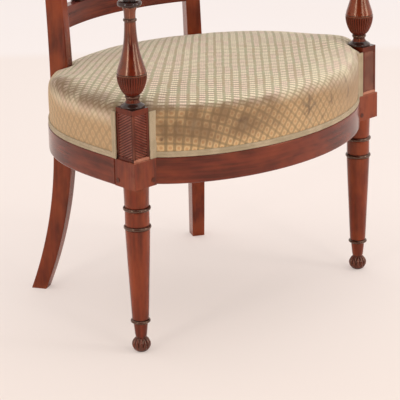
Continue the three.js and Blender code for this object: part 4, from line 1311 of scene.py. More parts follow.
@dataclass
class Cushion:
    """The stuffed seat in its checked cover."""

    finishes: "Finishes"
    voxel: float = 5.5
    shrink: float = 2.2
    pressure: float = 4.0
    frames: int = 20
    crown_cap: float = 3.0
    wall_cap: float = 2.8
    roll_z: float = 412.5
    wall_foot: float = 345.0
    lifts: tuple[tuple[Row, float, float], ...] = (
        ((15, 70), 115, -7.0), ((-264, 205), 45, 15.0), ((250, 50), 45, 4.0), ((190, 240), 60, -1.0)
    )
    check_turn: Row = (0.726, 0.687)
    check_lean: float = 0.17
    tuck_depth: float = 5.0
    tuck_reach: float = 15.0
    tuck_heights: Row = (385.0, 410.0)
    foot_heights: Row = (356.0, 342.0)
    foot_gaps: Row = (10.0, 5.0)
    edge_half: float = 238.0
    edge_from: float = 19.0
    edge_set_in: float = 2.7
    stains: tuple[tuple[Row, Row, float, float], ...] = (
        ((18, 365), (20, 394), 2.6, 0.8), ((5, 384), (18, 375), 2.2, 0.7),
        ((20, 371), (37, 379), 2.2, 0.7), ((8, 366), (18, 373), 2.0, 0.6),
        ((23, 384), (30, 392), 2.0, 0.5), ((82, 367), (79, 381), 2.4, 0.7),
        ((74, 372), (82, 369), 2.0, 0.5), ((132, 391), (126, 405), 2.6, 0.55),
        ((139, 364), (141, 378), 2.6, 0.6), ((-124, 379), (-110, 381), 4.0, 0.5),
        ((-230, 357.6), (-229.6, 359.2), 2.6, 0.9), ((52, 350), (60, 353), 3.0, 0.35),
        ((-60, 366), (-52, 362), 4.0, 0.3),
    )

    def build(self) -> None:
        """Builds the cushion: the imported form, shrunk, remeshed and blown up again as cloth."""
        source = frame["nodes"]["seat_cushion"]
        take_up(source)
        bpy.ops.object.duplicate(linked=False)
        piece = bpy.context.object
        piece.name = piece.data.name = "seat_cushion_cloth"
        for key in list(piece.keys()):
            del piece[key]
        bpy.ops.object.parent_clear(type="CLEAR_KEEP_TRANSFORM")
        bpy.ops.object.transform_apply(location=True, rotation=True, scale=True)
        take_up(piece, edit=True)
        bpy.ops.mesh.remove_doubles(threshold=1e-5)
        bpy.ops.transform.shrink_fatten(value=-self.shrink * MM)
        take_up(piece)
        piece.data.remesh_voxel_size = self.voxel * MM
        bpy.ops.object.voxel_remesh()
        self.relax(piece, 6, 0.5)
        self.blow_up(piece)
        self.relax(piece, 3, 0.4)
        self.tuck(piece)
        take_up(piece)
        bpy.ops.object.modifier_add(type="SUBSURF")
        finer = piece.modifiers[-1]
        finer.levels = finer.render_levels = 1
        bpy.ops.object.modifier_apply(modifier=finer.name)
        bpy.ops.object.shade_smooth()
        put_down()
        self.lay_cloth(piece)
        paint(piece, self.finishes.cover)
        set_in_place(piece, "cover", "seat_cushion")

    def relax(self, piece: Mesh, rounds: int, factor: float) -> None:
        """Evens out the steps that remeshing leaves."""
        take_up(piece, edit=True)
        bpy.ops.mesh.vertices_smooth(factor=factor, repeat=rounds)
        put_down()

    def blow_up(self, piece: Mesh) -> None:
        """Fills the cloth under pressure, with no point moving further than its cap."""
        take_up(piece)
        bpy.ops.object.modifier_add(type="CLOTH")
        cloth = piece.modifiers[-1]
        cloth.settings.use_pressure = True
        cloth.settings.uniform_pressure_force = self.pressure
        cloth.settings.effector_weights.gravity = 0
        cloth.settings.quality = 5
        cloth.point_cache.frame_start, cloth.point_cache.frame_end = 1, self.frames
        before = np.array([v.co for v in piece.data.vertices])
        out = np.array([v.normal for v in piece.data.vertices])
        scene = bpy.context.scene
        for number in range(1, self.frames + 1):
            scene.frame_set(number)
        blown = piece.evaluated_get(bpy.context.evaluated_depsgraph_get())
        after = np.array([v.co for v in blown.to_mesh().vertices])
        blown.to_mesh_clear()
        bpy.ops.object.modifier_remove(modifier=cloth.name)
        scene.frame_set(1)
        share = ramp(before[:, 2] / MM, self.wall_foot, self.roll_z)
        cap = (self.wall_cap + (self.crown_cap - self.wall_cap) * share) * MM
        swell = ((after - before) * out).sum(axis=1)
        log.info("cushion swells by %.1f to %.1f mm before its caps", swell.min() / MM, swell.max() / MM)
        swell = np.clip(swell, self.shrink * MM, cap)
        for vertex, place in zip(piece.data.vertices, before + out * swell[:, None]):
            vertex.co = place

    def tuck(self, piece: Mesh) -> None:
        """Fills the corners, and draws the cover down where it is tacked beside the carved blocks."""
        face, (wide, deep) = SEAT.carved_face, SEAT.carved
        low, high = self.tuck_heights
        for vertex in piece.data.vertices:
            x, y, z = abs(vertex.co.x) / MM, vertex.co.y / MM + MIDDLE_Y, vertex.co.z / MM
            beside = max(0.0, SEAT.post_x + face - wide - x, y - deep + face, -face - y)
            share = limited((z - low) / (high - low))
            vertex.co.z -= self.tuck_depth * share * math.exp(-((beside / self.tuck_reach) ** 2)) * MM
            for (middle_x, middle_y), reach, lift in self.lifts:
                gap = math.hypot(vertex.co.x / MM - middle_x, y - middle_y) / reach
                vertex.co.z += lift * share * math.exp(-(gap**2)) * MM
        co = self.in_plan(piece)
        gap, normal = self.from_edge(co)
        share = ramp(co[:, 2], *self.foot_heights) * ramp(gap, *self.foot_gaps)
        for vertex, step in zip(piece.data.vertices, normal * ((gap - 0.1) * share * MM)[:, None]):
            vertex.co.xy += Vector(step)

    def strokes(self, co: np.ndarray) -> np.ndarray:
        """How dark the old stains on the front of the cover make each place."""
        dark = np.zeros(len(co))
        for (x0, z0), (x1, z1), radius, share in self.stains:
            start, end = (np.array((x, SEAT.bow(x) + self.edge_set_in, z)) for x, z in ((x0, z0), (x1, z1)))
            step = end - start
            t = np.clip((co - start) @ step / max(1e-6, step @ step), 0, 1)
            gap = np.linalg.norm(co - start - t[:, None] * step, axis=1)
            dark = np.maximum(dark, share * np.exp(-((gap / radius) ** 2)))
        return dark

    def in_plan(self, piece: Mesh) -> np.ndarray:
        """Where a piece's corners are, in the plan's millimetres."""
        return np.array([v.co for v in piece.data.vertices]) / MM + (0, MIDDLE_Y, 0)

    def from_edge(self, co: np.ndarray) -> tuple[np.ndarray, np.ndarray]:
        """How far each point lies inside the foot of the cover, and which way that edge faces."""
        bow = SEAT.bow_line(self.edge_half, 80, self.edge_set_in, 0)
        half = SEAT.hoop_line(self.edge_from, self.edge_set_in, 0, 120)
        line = [*bow, *half, *(mirrored(p) for p in reversed(half))]
        ring = np.array([(p.x / MM, p.y / MM + MIDDLE_Y) for p in line])
        gap = np.empty(len(co))
        normal = np.empty((len(co), 2))
        step = np.roll(ring, -1, axis=0) - np.roll(ring, 1, axis=0)
        outward = np.stack([step[:, 1], -step[:, 0]], axis=1)
        outward /= np.linalg.norm(outward, axis=1)[:, None]
        count = 4000
        for start in range(0, len(co), count):
            part = co[start:start + count, None, :2] - ring[None]
            near = (part**2).sum(axis=2).argmin(axis=1)
            normal[start:start + count] = outward[near]
            gap[start:start + count] = -(part[np.arange(len(near)), near] * outward[near]).sum(axis=1)
        return gap, normal

    def lay_cloth(self, piece: Mesh) -> None:
        """Lays the cover's UV map and the four values of its wear and painted shade.

        The check runs slantwise over the top and straight down the wall, and leans at the left. Each
        corner knows how far down the wall it is, in decimetres, and from 0 to 1 how faded the
        pattern is there, how brown from soil and painted shade, and how stained. The values are told
        by the distance from the edge, the way down the wall and the place in the plan, all in millimetres.
        """
        co = self.in_plan(piece)
        x, y, z = co.T
        gap, normal = self.from_edge(co)
        down = np.clip(self.roll_z - z, 0, None) * ramp(gap, 30, 0)
        flat = co[:, :2] + normal * down[:, None]
        along_x, along_y = self.check_turn
        a = flat[:, 0] * along_x - flat[:, 1] * along_y
        b = flat[:, 0] * along_y + flat[:, 1] * along_x
        a = a - self.check_lean * ramp(a, -40, -230) ** 2 * (b - 100)
        uv = piece.data.uv_layers.new(name="cloth")
        corners = np.empty(len(piece.data.loops), dtype=np.int32)
        piece.data.loops.foreach_get("vertex_index", corners)
        uv.data.foreach_set("uv", (np.stack([a, b], axis=1)[corners] * MM).astype(np.float32).ravel())

        edge = ramp(gap, 60, 0)
        right_end = np.interp(x, (-180, -35, 60, 140), (0, 0.4, 0.5, 1))
        side_wall = ramp(down, 0, 14) * ramp(np.abs(x), 225, 270) * ramp(y, -40, 20)
        fade = np.clip(np.maximum(edge * right_end, 0.85 * side_wall), 0, 1)
        band = ramp(np.abs(down - 18), 52, 0) ** 0.8 * ramp(down, 0, 3) * ramp(y, 25, -25)
        middle = np.maximum(0.22, ramp(x, -10, -120)) * np.maximum(0.45, ramp(x, -262, -222))
        # left_roll darkens and browns the left roll and the top beside the left stile: painted shade, with
        # soil.
        left_roll = ramp(x, -195, -255) * ramp(gap, 45, 0) * ramp(down, 20, 0)
        soil_and_shade = np.clip(2.2 * band * middle + 1.3 * left_roll + 0.22 * edge * ramp(x, 60, 180), 0, 1)
        wear_and_light = {"down": down * MM * 10, "fade": fade, "soil_and_shade": soil_and_shade, "stain": self.strokes(co)}
        for name, values in wear_and_light.items():
            layer = piece.data.attributes.new(name, "FLOAT", "POINT")
            layer.data.foreach_set("value", values.astype(np.float32))


@dataclass
class Gimp:
    """The woven braid along the rails, with its uprights beside the carved blocks."""

    finishes: "Finishes"
    width: float = 9.5
    thick: float = 2.2
    set_in: float = 0.5
    bottom: float = 329.3
    top: float = 406.6
    front_half: float = 237.9
    side_spare: int = 10
    rear_from: int = 25
    front_uprights: Triple = (242.0, 1.1, 14.0)
    side_upright: Row = (284.4, 23.65)

    def outline(self, width: float) -> Outline:
        """The braid's section: U out from the seat and V across the braid, with two shallow ribs."""
        thick, half = self.thick / 2, width / 2
        low = [
            (thick - 0.9, -half), (thick - 0.25, -half + 0.5), (thick, -half + 1.3),
            (thick - 0.05, -half * 0.45), (thick - 0.45, -half * 0.12),
        ]
        return [*low, *((u, -v) for u, v in reversed(low)), (-thick, half), (-thick, -half)]

    def upright(self, outline: Outline, x: float, y: float, across: Vector) -> Mesh:
        """A length of braid that stands beside a carved block."""
        low, high = at(x, y, self.bottom), at(x, y, self.top)
        stations = [Station(facing(low.lerp(high, i / 8), UP, across)) for i in range(9)]
        return sweep("upright", outline, stations)

    def build(self) -> None:
        """Builds the braid in front, at both sides and at the rear."""
        middle_z = self.bottom + self.width / 2
        inward = self.set_in + self.thick / 2
        outline = self.outline(self.width)
        face, finish = SEAT.carved_face, self.finishes.braid
        bow = SEAT.bow_line(self.front_half, 72, inward, middle_z)
        front = sweep("gimp_front_woven", outline, along(bow))
        x, before, width = self.front_uprights
        wide, across = self.outline(width), Vector((-1, 0, 0))
        parts = [self.upright(wide, side * x, -face - before, across) for side in (1, -1)]
        dress(joined("gimp_front_woven", [front, *parts]), 50, finish, "braid", "gimp_front")

        half = SEAT.hoop_line(SEAT.carved[1] - face + 0.3, inward, middle_z, 60)
        side = sweep("gimp_side_right_woven", outline, along(half[:-self.side_spare]))
        trim_at_stile(side, middle_z, 1)
        upright = self.upright(outline, *self.side_upright, Vector((0, -1, 0)))
        dress(joined("gimp_side_right_woven", [side, upright]), 50, finish, "braid", "gimp_side", pair=True)

        rear = sweep("gimp_rear_woven", outline, along(over_middle(half, self.rear_from)))
        trim_at_stile(rear, middle_z, -1, both=True)
        dress(rear, 50, finish, "braid", "gimp_rear")


@dataclass
class Underside:
    """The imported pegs, webbing and hessian, which keep their own forms."""

    finishes: "Finishes"

    def build(self) -> None:
        """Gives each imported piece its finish."""
        looks = {"peg": self.finishes.groove, "webbing": self.finishes.jute, "hessian": self.finishes.hessian}
        for name, node in frame["nodes"].items():
            for word, finish in looks.items():
                if word in name:
                    paint(node, finish)


# Finishes

Socket = bpy.types.NodeSocket
Colour = Triple
Relief = tuple[Socket, float, float]


class Graph:
    """A node tree, with a short call for each kind of node that the finishes use."""

    def __init__(self, tree: bpy.types.NodeTree) -> None:
        """Starts with an empty tree."""
        self.tree = tree
        tree.nodes.clear()

    def add(self, kind: str, inputs: dict | None = None, **settings) -> bpy.types.Node:
        """Adds a node.

        Args:
            kind: The node's class name.
            inputs: Sockets or plain values for its inputs, by name or number.
            **settings: Properties of the node.

        Returns:
            The node.
        """
        node = self.tree.nodes.new(kind)
        for key, value in settings.items():
            setattr(node, key, value)
        for key, value in (inputs or {}).items():
            if isinstance(value, Socket):
                self.tree.links.new(value, node.inputs[key])
            else:
                node.inputs[key].default_value = value
        return node

    def math(self, operation: str, a: Socket | float, b: Socket | float = 0.0) -> Socket:
        """A function of one or two values."""
        return self.add("ShaderNodeMath", {0: a, 1: b}, operation=operation).outputs[0]

    def times(self, a: Socket | float, b: Socket | float) -> Socket:
        """The product of two values."""
        return self.math("MULTIPLY", a, b)

    def plus(self, a: Socket | float, b: Socket | float) -> Socket:
        """The sum of two values."""
        return self.math("ADD", a, b)

    def parts(self, vector: Socket) -> bpy.types.NodeOutputs:
        """The X, Y and Z of a vector."""
        return self.add("ShaderNodeSeparateXYZ", {0: vector}).outputs

    def vector(self, x: Socket | float = 0.0, y: Socket | float = 0.0, z: Socket | float = 0.0) -> Socket:
        """A vector from its X, Y and Z."""
        return self.add("ShaderNodeCombineXYZ", {0: x, 1: y, 2: z}).outputs[0]

    def swayed(self, vector: Socket, sway: Socket, reach: float) -> Socket:
        """A vector moved in X and in Y by a share of a reach."""
        step = {0: self.vector(sway, sway), 1: (reach, reach, 0)}
        moved = self.add("ShaderNodeVectorMath", step, operation="MULTIPLY").outputs[0]
        return self.add("ShaderNodeVectorMath", {0: vector, 1: moved}, operation="ADD").outputs[0]

    def scaled(self, vector: Socket, factors: Triple, turned: Triple = (0, 0, 0)) -> Socket:
        """A vector turned and stretched by its own factors."""
        inputs = {"Vector": vector, "Scale": factors, "Rotation": turned}
        return self.add("ShaderNodeMapping", inputs).outputs[0]

    def noise(self, vector: Socket, scale: float, detail: float, rough: float = 0.5) -> Socket:
        """Cloudy values from 0 to 1."""
        inputs = {"Vector": vector, "Scale": scale, "Detail": detail, "Roughness": rough}
        return self.add("ShaderNodeTexNoise", inputs).outputs["Fac"]

    def span(
        self, value: Socket, low: float, high: float, to_low: float = 0.0, to_high: float = 1.0
    ) -> Socket:
        """A value's smooth way from one bound to another, as a range of its own."""
        inputs = {"Value": value, "From Min": low, "From Max": high, "To Min": to_low, "To Max": to_high}
        return self.add("ShaderNodeMapRange", inputs, interpolation_type="SMOOTHSTEP").outputs[0]

    def blend(self, share: Socket, a: Socket | Colour, b: Socket | Colour) -> Socket:
        """One colour mixed with a share of another."""
        inputs = {0: share}
        for number, colour in ((6, a), (7, b)):
            inputs[number] = colour if isinstance(colour, Socket) else (*colour, 1.0)
        return self.add("ShaderNodeMix", inputs, data_type="RGBA").outputs[2]

    def placed(self, tree: bpy.types.NodeTree, vector: Socket) -> bpy.types.NodeOutputs:
        """The values of a shared group at a vector."""
        return self.add("ShaderNodeGroup", {"Vector": vector}, node_tree=tree).outputs

    def object_place(self) -> Socket:
        """Where a point lies in the frame."""
        return self.add("ShaderNodeTexCoord").outputs["Object"]

    def uv_place(self, name: str) -> Socket:
        """Where a point lies on a UV map."""
        return self.add("ShaderNodeUVMap", uv_map=name).outputs[0]


def new_group(name: str) -> tuple[Graph, Socket]:
    """Starts a shared group of nodes, with the vector that it is given."""
    tree = bpy.data.node_groups.new(name, "ShaderNodeTree")
    tree.interface.new_socket("Vector", in_out="INPUT", socket_type="NodeSocketVector")
    graph = Graph(tree)
    return graph, graph.add("NodeGroupInput").outputs["Vector"]


def closed_group(graph: Graph, values: dict[str, Socket]) -> bpy.types.NodeTree:
    """A shared group's tree, with the values that the group gives."""
    for name in values:
        graph.tree.interface.new_socket(name, in_out="OUTPUT", socket_type="NodeSocketFloat")
    graph.add("NodeGroupOutput", values)
    return graph.tree


def wood_grain() -> bpy.types.NodeTree:
    """Figured wood: its tone, its broad flame and its open pores. The grain runs along Z."""
    graph, where = new_group("wood_grain")
    bent = graph.swayed(where, graph.noise(graph.scaled(where, (1, 1, 0.25)), 9, 2), 0.035)
    bands = graph.noise(graph.scaled(bent, (1, 1, 0.035)), 150, 4, 0.62)
    flame = graph.noise(graph.scaled(bent, (1, 1, 0.4)), 26, 3, 0.6)
    pores = graph.noise(graph.scaled(where, (1, 1, 0.045)), 1500, 2, 0.6)
    return closed_group(graph, {
        "Tone": graph.span(bands, 0.3, 0.7), "Flame": graph.span(flame, 0.34, 0.68),
        "Pores": graph.span(pores, 0.3, 0.48),
    })


def edge_wear() -> bpy.types.NodeTree:
    """Where a form is paler along its arrises, from wear and from a painted highlight, and darker in its
    hollows, from dirt and from painted shade.
    """
    graph, where = new_group("edge_wear")
    point = graph.add("ShaderNodeNewGeometry").outputs["Pointiness"]
    patches = graph.noise(where, 60, 3, 0.6)
    return closed_group(graph, {
        # Paler along convex arrises: wear, and a painted highlight.
        "WornAndLit": graph.times(graph.span(point, 0.52, 0.62), graph.span(patches, 0.3, 0.65)),
        # Darker in concave hollows: dirt, and painted shade.
        "DirtAndShade": graph.times(graph.span(point, 0.5, 0.43), graph.span(patches, 0.2, 0.6, 0.55, 1.0)),
    })


def weave() -> bpy.types.NodeTree:
    """A plain weave in the XY plane, one thread to a unit: its height, and which thread is over."""
    graph, where = new_group("weave")
    warp, weft = (graph.math("SINE", graph.times(part, math.pi)) for part in list(graph.parts(where))[:2])
    over = graph.math("GREATER_THAN", graph.times(warp, weft), 0.0)
    heights = {0: over, 2: graph.math("ABSOLUTE", warp), 3: graph.math("ABSOLUTE", weft)}
    rise = graph.add("ShaderNodeMix", heights, data_type="FLOAT").outputs[0]
    return closed_group(graph, {"Height": rise, "Over": over})


def trellis() -> bpy.types.NodeTree:
    """A small check of broad and narrow lines, one cell to a unit, with a spot in each cell."""
    graph, where = new_group("trellis")
    x, y, _ = graph.parts(where)

    def from_line(value: Socket) -> Socket:
        """The distance from the nearest line, up to a half."""
        return graph.math("ABSOLUTE", graph.math("SUBTRACT", graph.math("FRACT", value), 0.5))

    def squared_gap(value: Socket) -> Socket:
        """The square of how far a distance falls short of a half."""
        return graph.math("POWER", graph.math("ABSOLUTE", graph.math("SUBTRACT", value, 0.5)), 2.0)

    across, up = from_line(x), from_line(y)
    reach = graph.math("SQRT", graph.plus(squared_gap(across), squared_gap(up)))
    column = graph.math("FLOOR", graph.plus(x, 0.5))
    tint = graph.noise(graph.vector(graph.times(column, 3.7), graph.times(y, 0.35)), 1.0, 2)
    return closed_group(graph, {
        "Broad": graph.span(across, 0.2, 0.13), "Narrow": graph.span(up, 0.17, 0.08),
        "Spot": graph.span(reach, 0.2, 0.08),
        "Ring": graph.times(graph.span(reach, 0.4, 0.31), graph.span(reach, 0.17, 0.25)),
        "Tint": graph.span(tint, 0.42, 0.62),
        "Rung": graph.span(from_line(graph.times(y, 1.75)), 0.26, 0.14),
        "Pick": graph.span(from_line(graph.times(x, 5.0)), 0.25, 0.1),
    })


@dataclass
class Groups:
    """The node groups that the finishes share, each built once."""

    grain: bpy.types.NodeTree = field(default_factory=wood_grain)
    wear_and_light: bpy.types.NodeTree = field(default_factory=edge_wear)
    weave: bpy.types.NodeTree = field(default_factory=weave)
    trellis: bpy.types.NodeTree = field(default_factory=trellis)


@dataclass(frozen=True)
class Surface:
    """What a finish looks like: its colour and roughness, its relief as the height of its bumps,
    their strength and their depth in metres, and what is the same all over."""

    base: Socket
    rough: Socket
    relief: Relief | None
    plain: dict


@dataclass(frozen=True)
class Finish:
    """One material, made with a Principled shader."""

    name: str

    def surface(self, graph: Graph, groups: Groups | None) -> Surface:
        """The finish's own nodes."""
        raise NotImplementedError

    def make(self, groups: Groups | None = None) -> bpy.types.Material:
        """Makes the material."""
        material = bpy.data.materials.new(self.name)
        material.use_nodes = True
        graph = Graph(material.node_tree)
        look = self.surface(graph, groups)
        inputs = {"Base Color": look.base, "Roughness": look.rough, **look.plain}
        if look.relief:
            height, strength, distance = look.relief
            bumps = {"Height": height, "Strength": strength, "Distance": distance}
            inputs["Normal"] = graph.add("ShaderNodeBump", bumps).outputs[0]
        shader = graph.add("ShaderNodeBsdfPrincipled", inputs).outputs[0]
        graph.add("ShaderNodeOutputMaterial", {"Surface": self.seen(graph, shader)})
        return material

    def seen(self, graph: Graph, shader: Socket) -> Socket:
        """What is shown of the shader; all of it, unless a finish adds to it."""
        return shader


class Grain(Enum):
    """Which way the grain of a wooden piece runs."""

    UPRIGHT = "up the piece"
    ALONG = "along the piece's own UV map"


@dataclass(frozen=True)
class Wood(Finish):
    """Polished mahogany: colours, and the way of its grain."""

    grain: Grain
    dark: Colour = (0.07, 0.008, 0.005)
    middle: Colour = (0.15, 0.018, 0.009)
    light: Colour = (0.31, 0.053, 0.014)
    worn: Colour = (0.4, 0.13, 0.065)
    grime: Colour = (0.014, 0.005, 0.003)
    polish: float = 0.46
    varnish: Colour = (1.0, 0.74, 0.54)

    def surface(self, graph: Graph, groups: Groups) -> Surface:
        """Dark and light bands and flames, paler along its arrises from wear and a painted highlight, and
        darker in its hollows from dirt and painted shade.
        """
        place = graph.object_place()
        where = place
        if self.grain is Grain.ALONG:
            along_it, round_it, _ = graph.parts(graph.uv_place("grain"))
            where = graph.vector(round_it, 0.0, along_it)
        grain = graph.placed(groups.grain, where)
        wear_and_light = graph.placed(groups.wear_and_light, place)
        base = graph.blend(grain["Tone"], self.dark, self.middle)
        base = graph.blend(graph.times(grain["Flame"], 0.58), base, self.light)
        # Paler along the arrises: wear, and a painted highlight.
        base = graph.blend(graph.times(wear_and_light["WornAndLit"], 0.6), base, self.worn)
        # Darker in the hollows: dirt, and painted shade.
        base = graph.blend(graph.times(wear_and_light["DirtAndShade"], 0.85), base, self.grime)
        rough = graph.plus(graph.times(grain["Tone"], -0.06), 0.2)
        rough = graph.plus(rough, graph.times(wear_and_light["DirtAndShade"], 0.2))
        plain = {"Specular IOR Level": self.polish, "Specular Tint": (*self.varnish, 1)}
        return Surface(base, rough, (grain["Pores"], 0.12, 0.0003), plain)


@dataclass(frozen=True)
class Ebony(Finish):
    """Wood stained black and polished, brown on its high places from wear and a painted highlight."""

    black: Colour = (0.014, 0.006, 0.005)
    brown: Colour = (0.06, 0.02, 0.013)
    worn: Colour = (0.16, 0.06, 0.035)

    def surface(self, graph: Graph, groups: Groups) -> Surface:
        """Black with brown bands, under a clear coat."""
        place = graph.object_place()
        grain = graph.placed(groups.grain, place)
        wear_and_light = graph.placed(groups.wear_and_light, place)
        base = graph.blend(graph.times(grain["Tone"], 0.5), self.black, self.brown)
        base = graph.blend(graph.times(wear_and_light["WornAndLit"], 0.6), base, self.worn)
        rough = graph.plus(graph.times(grain["Flame"], 0.12), 0.2)
        plain = {"Coat Weight": 0.8, "Coat Roughness": 0.1, "Specular IOR Level": 0.06}
        return Surface(base, rough, (grain["Pores"], 0.08, 0.0003), plain)


@dataclass(frozen=True)
class OldBrass(Finish):
    """Lacquered brass, dull in its hollows."""

    bright: Colour = (0.72, 0.5, 0.2)
    dull: Colour = (0.3, 0.19, 0.08)
    grime: Colour = (0.09, 0.06, 0.03)

    def surface(self, graph: Graph, groups: Groups) -> Surface:
        """Bright metal with dull clouds."""
        place = graph.object_place()
        cloud = graph.noise(place, 90, 4, 0.6)
        base = graph.blend(graph.span(cloud, 0.35, 0.7), self.bright, self.dull)
        # Darker in the hollows: tarnish, and painted shade.
        base = graph.blend(graph.placed(groups.wear_and_light, place)["DirtAndShade"], base, self.grime)
        rough = graph.span(cloud, 0.3, 0.7, 0.24, 0.42)
        return Surface(base, rough, (cloud, 0.1, 0.0002), {"Metallic": 1.0})


@dataclass(frozen=True)
class Sacking(Finish):
    """A coarse plain weave, as of jute webbing or hessian; a thread's width is in millimetres."""

    thread: float
    warp: Colour
    weft: Colour
    dust: Colour = (0.2, 0.16, 0.11)

    def surface(self, graph: Graph, groups: Groups) -> Surface:
        """Woven threads with slubs, shade between them and dust on them."""
        place = graph.object_place()
        count = 1 / (self.thread * MM)
        woven = graph.placed(groups.weave, graph.scaled(place, (count, count, count)))
        slub = graph.noise(graph.scaled(place, (1, 0.2, 1)), 500, 3)
        dust = graph.noise(place, 14, 4, 0.6)
        dark, darkest = (tuple(c * share for c in self.warp) for share in (0.6, 0.25))
        base = graph.blend(woven["Over"], self.warp, self.weft)
        base = graph.blend(graph.span(slub, 0.35, 0.7, 0.0, 0.45), base, dark)
        base = graph.blend(graph.span(woven["Height"], 0.55, 0.1, 0.0, 0.7), base, darkest)
        base = graph.blend(graph.span(dust, 0.4, 0.75, 0.0, 0.5), base, self.dust)
        rough = graph.span(slub, 0.3, 0.7, 0.85, 0.97)
        return Surface(base, rough, (woven["Height"], 0.7, 0.0006), {"Sheen Weight": 0.15})


@dataclass(frozen=True)
class Braid(Finish):
    """Flat woven braid: fine ribs across it, pale and a little dirty."""

    pale: Colour = (0.505, 0.385, 0.245)
    green: Colour = (0.4, 0.31, 0.19)
    shade: Colour = (0.2, 0.15, 0.09)
    grime: Colour = (0.2, 0.14, 0.09)
    threads: Row = (0.9, 1.2)

    def surface(self, graph: Graph, groups: Groups) -> Surface:
        """Pale and greenish clouds, with shade between the threads, and dirt and painted shade in the
        hollows.
        """
        place = graph.object_place()
        along_it, across_it = self.threads
        counts = (1 / (along_it * MM), 1 / (across_it * MM), 1)
        height = graph.placed(groups.weave, graph.scaled(graph.uv_place("grain"), counts))["Height"]
        cloud = graph.noise(place, 40, 4, 0.6)
        base = graph.blend(graph.span(cloud, 0.35, 0.65), self.pale, self.green)
        base = graph.blend(graph.span(height, 0.6, 0.1, 0.0, 0.55), base, self.shade)
        # Darker in the hollows: dirt, and painted shade.
        base = graph.blend(graph.times(graph.placed(groups.wear_and_light, place)["DirtAndShade"], 0.5), base, self.grime)
        rough = graph.span(cloud, 0.3, 0.7, 0.75, 0.9)
        return Surface(base, rough, (height, 0.6, 0.0004), {"Sheen Weight": 0.1})


@dataclass(frozen=True)
class SeatCover(Finish):
    """The cover: a faded check of grey-green lines on cream and rose, brown at the front from soil, and at
    the left roll from soil and painted shade.
    """

    cream: Colour = (0.85, 0.74, 0.52)
    rose: Colour = (0.84, 0.65, 0.5)
    green: Colour = (0.36, 0.33, 0.19)
    khaki: Colour = (0.4, 0.3, 0.17)
    rung: Colour = (0.2, 0.13, 0.07)
    wall: Colour = (0.6, 0.36, 0.155)
    wall_faded: Colour = (0.45, 0.28, 0.14)
    wall_line: Colour = (0.2, 0.155, 0.08)
    wall_spot: Colour = (0.52, 0.235, 0.1)
    wall_ring: Colour = (0.76, 0.55, 0.31)
    soiled_and_shaded: Colour = (0.17, 0.09, 0.038)
    stained: Colour = (0.09, 0.05, 0.028)
    dust: Colour = (0.42, 0.33, 0.22)
    shade: Colour = (0.2, 0.15, 0.09)
    pitch: Row = (13.1, 14.4)
    thread: float = 0.8

    def surface(self, graph: Graph, groups: Groups) -> Surface:
        place, uv = graph.object_place(), graph.uv_place("cloth")
        down, fade, soil_and_shade, stain = (
            graph.add("ShaderNodeAttribute", attribute_name=name).outputs["Fac"]
            for name in ("down", "fade", "soil_and_shade", "stain")
        )
        shift = graph.swayed(uv, graph.noise(place, 25, 2), 0.003)
        cells = (1 / (self.pitch[0] * MM), 1 / (self.pitch[1] * MM), 1)
        check = graph.placed(groups.trellis, graph.scaled(shift, cells))
        counts = (1 / (self.thread * MM), 1 / (self.thread * MM), 1)
        height = graph.placed(groups.weave, graph.scaled(uv, counts))["Height"]
        patches = graph.noise(place, 30, 4, 0.62)
        broken = graph.noise(place, 260, 3, 0.7)
        soft_edge = graph.plus(graph.times(fade, 0.35), 0.1)
        wall_share = graph.span(graph.math("DIVIDE", down, soft_edge), 0.0, 1.0)
        left = graph.math("SUBTRACT", 1.0, graph.times(fade, 0.74))
        strength = graph.times(graph.span(broken, 0.25, 0.55, 0.5, 1.0), left)

        def drawn_in(form: str, share: float, ground: Socket, colour: Socket | Colour) -> Socket:
            """The ground with one form of the check drawn on it."""
            return graph.blend(graph.times(check[form], graph.times(strength, share)), ground, colour)

        top = graph.blend(check["Tint"], self.cream, self.rose)
        top = drawn_in("Rung", 0.85, top, self.rung)
        top = drawn_in("Pick", 0.3, top, self.rung)
        top = drawn_in("Broad", 0.95, top, graph.blend(graph.span(patches, 0.4, 0.6), self.green, self.khaki))
        wall = graph.blend(fade, self.wall, self.wall_faded)
        wall = drawn_in("Ring", 0.5, wall, self.wall_ring)
        wall = drawn_in("Spot", 0.6, wall, self.wall_spot)
        wall = drawn_in("Narrow", 0.62, wall, self.wall_line)
        wall = drawn_in("Broad", 0.66, wall, self.wall_line)
        base = graph.blend(wall_share, top, wall)
        # Brown over the front band, the left roll and the right edge: soil, and painted shade at the left
        # roll.
        brown = graph.times(soil_and_shade, graph.span(patches, 0.3, 0.62, 0.45, 1.0))
        base = graph.blend(graph.times(brown, 0.85), base, self.soiled_and_shaded)
        spots = graph.times(stain, graph.span(broken, 0.3, 0.5, 0.6, 1.0))
        base = graph.blend(spots, base, self.stained)
        base = graph.blend(graph.span(patches, 0.55, 0.8, 0.0, 0.3), base, self.dust)
        base = graph.blend(graph.span(height, 0.5, 0.05, 0.0, 0.35), base, self.shade)
        rough = graph.span(patches, 0.3, 0.7, 0.8, 0.92)
        return Surface(base, rough, (height, 0.35, 0.0003), {"Sheen Weight": 0.12})


